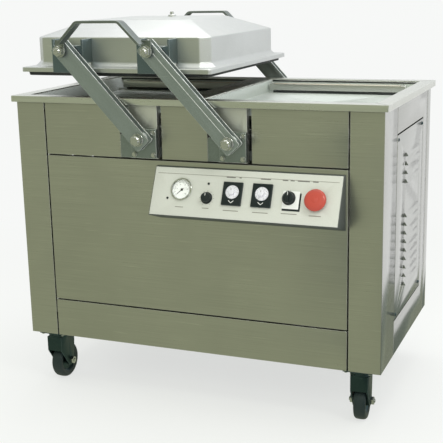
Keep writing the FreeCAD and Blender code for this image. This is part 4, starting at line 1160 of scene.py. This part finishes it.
# %% Wheels, nuts and plates
TYRE = ((33.0, -13.0), (37.0, -15.0), (42.0, -16.0), (45.6, -15.2), (47.0, -13.6), (47.8, -13.2),
        (49.0, -11.0), (49.7, -7.0), (50.0, 0.0), (49.7, 7.0), (49.0, 11.0), (47.8, 13.2),
        (47.0, 13.6), (45.6, 15.2), (42.0, 16.0), (37.0, 15.0), (33.0, 13.0))
HUB = ((5.1, -18.0), (12.0, -18.0), (13.6, -17.0), (14.0, -11.0), (17.0, -9.4), (28.0, -8.6),
       (31.0, -11.0), (33.2, -12.4), (33.2, 12.4), (31.0, 11.0), (28.0, 8.6), (17.0, 9.4),
       (14.0, 11.0), (13.6, 17.0), (12.0, 18.0), (5.1, 18.0))
NUT_FACE = 22.4 * MM              # outside of a fork's leg
CORNERS = ("front_left", "front_right", "rear_left", "rear_right")


def axle_nut(centre, outward):
    """A nut on a thread end, against a leg of the fork."""
    return placed(gathered([hexagon(19.0, 8.6, 1.2),
                            placed(threaded_end(5.2, 3.2), (0, 0, 8.2 * MM))]), centre, outward)


for corner in CORNERS:
    roll = JOINTS["roll_" + corner]
    centre, axle = Vector(roll["pos_m"]), Vector(roll["axis"]).normalized()
    wheel, fork = "caster_wheel_" + corner, "caster_fork_" + corner
    make_piece("tyre_" + corner, placed(turned(TYRE, 72, True), centre, axle), BODY_OF[wheel],
               "wheel_rubber", wheel)
    make_piece("hub_" + corner, placed(turned(HUB, 48, True), centre, axle), BODY_OF[wheel],
               "caster_zinc")
    eased(fork, "caster_zinc", 0.5 * MM)
    nuts = [axle_nut(centre + axle * side * NUT_FACE, axle * side) for side in (-1, 1)]
    make_piece("axle_nuts_" + corner, gathered(nuts), BODY_OF[fork], "bright_fastener")
eased("caster_plates", "caster_zinc", 0.5 * MM)

# %% Plate bolts
PLATE_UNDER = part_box("caster_plates")[1].z - 4.0 * MM
BOLT_X, BOLT_Y = 31.0 * MM, 29.0 * MM
plate_bolts = []
for corner in CORNERS:
    swivel = JOINTS["swivel_" + corner]["pos_m"]
    for sx in (-1, 1):
        for sy in (-1, 1):
            place = (swivel[0] + sx * BOLT_X, swivel[1] + sy * BOLT_Y, PLATE_UNDER)
            plate_bolts.append(placed(hexagon(8.0, 3.6, 0.5), place, (0, 0, -1)))
print(len(plate_bolts), "plate bolts")
make_piece("caster_plate_bolts", gathered(plate_bolts), "cabinet", "bright_fastener")

# %% [markdown]
# ## Inside the cabinet
# The pump, its motor, the pipes, the transformer and the relay board show only through the rear
# vents and the slots round the arms. Their CAD shapes are right for that, so they keep them and
# get a finish. The supply gland in the rear panel is in full view, so its edges are eased.

# %% Hidden parts
HIDDEN = {"chassis_frame": "frame_steel", "vacuum_pump": "pump_paint",
          "pump_motor": "pump_paint", "suction_pipework": "galvanised_pipe",
          "transformer": "copper_windings", "contactor_board": "electrical_plastic"}
for node, finish in HIDDEN.items():
    mesh = frame["nodes"][node].data
    mesh.materials.clear()
    mesh.materials.append(FINISH[finish])
eased("cable_gland", "black_plastic", 0.8 * MM)

# %% [markdown]
# ## Camera
# The camera stands to the operator's right, a little above the table, and looks slightly down.
# It is set by its place and three angles: the way it looks, how far down, and a slight roll.

# %% Place the camera
AZIMUTH, ELEVATION, ROLL = (math.radians(v) for v in (22.23, 13.64, -1.25))
CAMERA_PLACE = Vector((1.00395, -2.53548, 1.10009))
back = Vector((math.sin(AZIMUTH) * math.cos(ELEVATION),
               -math.cos(AZIMUTH) * math.cos(ELEVATION), math.sin(ELEVATION)))
right = Vector((0, 0, 1)).cross(back).normalized()
up = back.cross(right)
rolled_right = right * math.cos(ROLL) + up * math.sin(ROLL)
rolled_up = up * math.cos(ROLL) - right * math.sin(ROLL)
lens = bpy.data.cameras.new("camera")
lens.sensor_width = 36.0          # millimetres, as is the lens
lens.lens = 80.22
camera = bpy.data.objects.new("camera", lens)
bpy.context.scene.collection.objects.link(camera)
turn = Matrix((rolled_right, rolled_up, back)).transposed().to_4x4()
camera.matrix_world = Matrix.Translation(CAMERA_PLACE) @ turn
bpy.context.scene.camera = camera
print("camera", [round(v, 3) for v in camera.location])

# %% [markdown]
# ## Floor, sky and lamps
# Brushed steel shows what stands round it far more than its own colour. A real studio therefore
# puts white and dark boards where the steel will mirror them. Here the sky and the floor do that
# work: what the steel mirrors from the front is dim and warm, and from the right and above it is
# bright. A dark card behind the left chamber deepens what the wells mirror under the lid. The
# camera itself sees a plain pale surround.

# %% Small steps for the stage
# DIM, SHADE and BRIGHT are painted reflections: the mat is no object, only colours that the floor and sky glow
# with for the steel to mirror.
DIM = (0.38, 0.41, 0.29)          # the mat in front of the machine, and the sky over it
SHADE = (0.17, 0.20, 0.165)       # the mat's part beside the machine
BRIGHT = (0.84, 0.85, 0.84)       # bare floor beyond the mat
OPEN_SKY = (0.86, 0.88, 0.88)
PALE = (0.93, 0.94, 0.93)         # what the camera sees of the surround


def lit(tree, kind, colour):
    """A shader of one kind, such as Emission, with its colour or a socket that gives it."""
    node = tree.nodes.new(kind)
    if isinstance(colour, bpy.types.NodeSocket):
        tree.links.new(colour, node.inputs["Color"])
    else:
        node.inputs["Color"].default_value = (*colour, 1.0)
    return node.outputs[0]


def shader_mix(tree, share, first, second):
    """The first shader where share is 0, the second where it is 1."""
    node = tree.nodes.new("ShaderNodeMixShader")
    for socket, index in ((share, 0), (first, 1), (second, 2)):
        tree.links.new(socket, node.inputs[index])
    return node.outputs[0]


def on_stage(name, shape, material):
    """Puts a bmesh on the stage. It is no part of the machine."""
    mesh = bpy.data.meshes.new(name)
    shape.to_mesh(mesh)
    shape.free()
    mesh.materials.append(material)
    prop = bpy.data.objects.new(name, mesh)
    bpy.context.scene.collection.objects.link(prop)
    prop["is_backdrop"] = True
    return prop


# %% Floor
FADE = (0.3, 2.2, 0.68, 1.0)      # shadows fade out from 0.3 to 2.2 m from the middle
MAT_BESIDE = (0.50, 0.58)         # X where the shaded part of the mat starts
MAT_SLANT = 2.29                  # the mat's far edge comes this much nearer for each metre in X
MAT_BEYOND = (2.27, 2.40)         # Y where that edge crosses the machine's middle


def pale_floor():
    """A pale floor with faint shadows. Polished steel mirrors a dim mat instead of it: a painted reflection that
    glows only for reflected rays.
    """
    material = bpy.data.materials.new("studio_floor")
    material.use_nodes = True
    tree = material.node_tree
    tree.nodes.clear()
    place = tree.nodes.new("ShaderNodeTexCoord").outputs["Object"]
    distance = tree.nodes.new("ShaderNodeVectorMath")
    distance.operation = "LENGTH"
    tree.links.new(place, distance.inputs[0])
    fade = spread_over(tree, distance.outputs["Value"], *FADE)
    pale = shader_mix(tree, fade, lit(tree, "ShaderNodeBsdfDiffuse", PALE),
                      lit(tree, "ShaderNodeEmission", PALE))
    split = tree.nodes.new("ShaderNodeSeparateXYZ")
    tree.links.new(place, split.inputs[0])
    slant = tree.nodes.new("ShaderNodeMath")
    slant.operation = "MULTIPLY_ADD"
    slant.inputs[1].default_value = MAT_SLANT
    tree.links.new(split.outputs["X"], slant.inputs[0])
    tree.links.new(split.outputs["Y"], slant.inputs[2])
    beside = spread_over(tree, split.outputs["X"], *MAT_BESIDE)
    beyond = spread_over(tree, slant.outputs["Value"], *MAT_BEYOND)
    # Painted reflection: the mat's colours glow and are seen only in the steel's reflections.
    mat_tone = colour_mix(tree, beside, DIM, SHADE)
    mirrored = lit(tree, "ShaderNodeEmission", colour_mix(tree, beyond, mat_tone, BRIGHT))
    glossy = tree.nodes.new("ShaderNodeLightPath").outputs["Is Glossy Ray"]
    output = tree.nodes.new("ShaderNodeOutputMaterial")
    tree.links.new(shader_mix(tree, glossy, pale, mirrored), output.inputs["Surface"])
    return material


ground = bmesh.new()
bmesh.ops.create_circle(ground, cap_ends=True, segments=64, radius=30.0)
floor = on_stage("studio_floor", ground, pale_floor())
print("floor", [round(v, 1) for v in floor.dimensions])

# %% Dark card
CARD_LOW, CARD_HIGH = (-0.78, 0.46, 0.82), (-0.02, 0.47, 0.955)
card = on_stage("dark_card", block(CARD_LOW, CARD_HIGH), FINISH["black_rubber"])
card.visible_camera = False       # it is only there to be mirrored under the lid
card.visible_shadow = False

# %% Sky
def studio_sky():
    """A pale surround, with a dim warm side towards the machine's front for reflections."""
    world = bpy.data.worlds.new("studio_sky")
    world.use_nodes = True
    tree = world.node_tree
    tree.nodes.clear()
    split = tree.nodes.new("ShaderNodeSeparateXYZ")
    tree.links.new(tree.nodes.new("ShaderNodeTexCoord").outputs["Generated"], split.inputs[0])
    in_front = spread_over(tree, split.outputs["Y"], 0.1, -0.25)
    reflected = lit(tree, "ShaderNodeBackground", colour_mix(tree, in_front, OPEN_SKY, DIM))
    seen = lit(tree, "ShaderNodeBackground", PALE)
    direct = tree.nodes.new("ShaderNodeLightPath").outputs["Is Camera Ray"]
    output = tree.nodes.new("ShaderNodeOutputWorld")
    tree.links.new(shader_mix(tree, direct, reflected, seen), output.inputs["Surface"])
    return world


bpy.context.scene.world = studio_sky()

# %% Lamps
LAMPS = (                         # name, place, size, power, colour, mirrored by steel
    ("edge_light", (2.2, -1.6, 3.0), 0.9, 26.0, (1.0, 1.0, 1.0), True),
    ("overhead", (0.0, 0.4, 3.4), 2.4, 40.0, (1.0, 0.99, 0.97), True),
    ("front_fill", (0.8, -3.2, 2.2), 2.0, 45.0, (1.0, 1.0, 0.97), False),
)
TARGET = Vector((0.0, 0.0, 0.6))
for name, place, size, power, colour, mirrored in LAMPS:
    light = bpy.data.lights.new(name, "AREA")
    light.shape = "SQUARE"
    light.size = size
    light.energy = power
    light.color = colour
    lamp = bpy.data.objects.new(name, light)
    lamp.location = place
    lamp.rotation_euler = (TARGET - Vector(place)).to_track_quat("-Z", "Y").to_euler()
    lamp.visible_glossy = mirrored
    bpy.context.scene.collection.objects.link(lamp)
bpy.context.scene.view_settings.view_transform = "Standard"
print(len(LAMPS), "lamps")

# %% [markdown]
# ## Compare the sizes
# The new pieces have to stay in the CAD model's box. Both boxes are kept, and how far the new
# box grows past the CAD box is printed.

# %% Keep both boxes and print the growth
new_low, new_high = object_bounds()
size = {"cad_box": [list(cad_low), list(cad_high)], "visual_box": [list(new_low), list(new_high)]}
print("grew below by", [round(1000 * v, 2) for v in cad_low - new_low], "mm, above by",
      [round(1000 * v, 2) for v in new_high - cad_high], "mm")
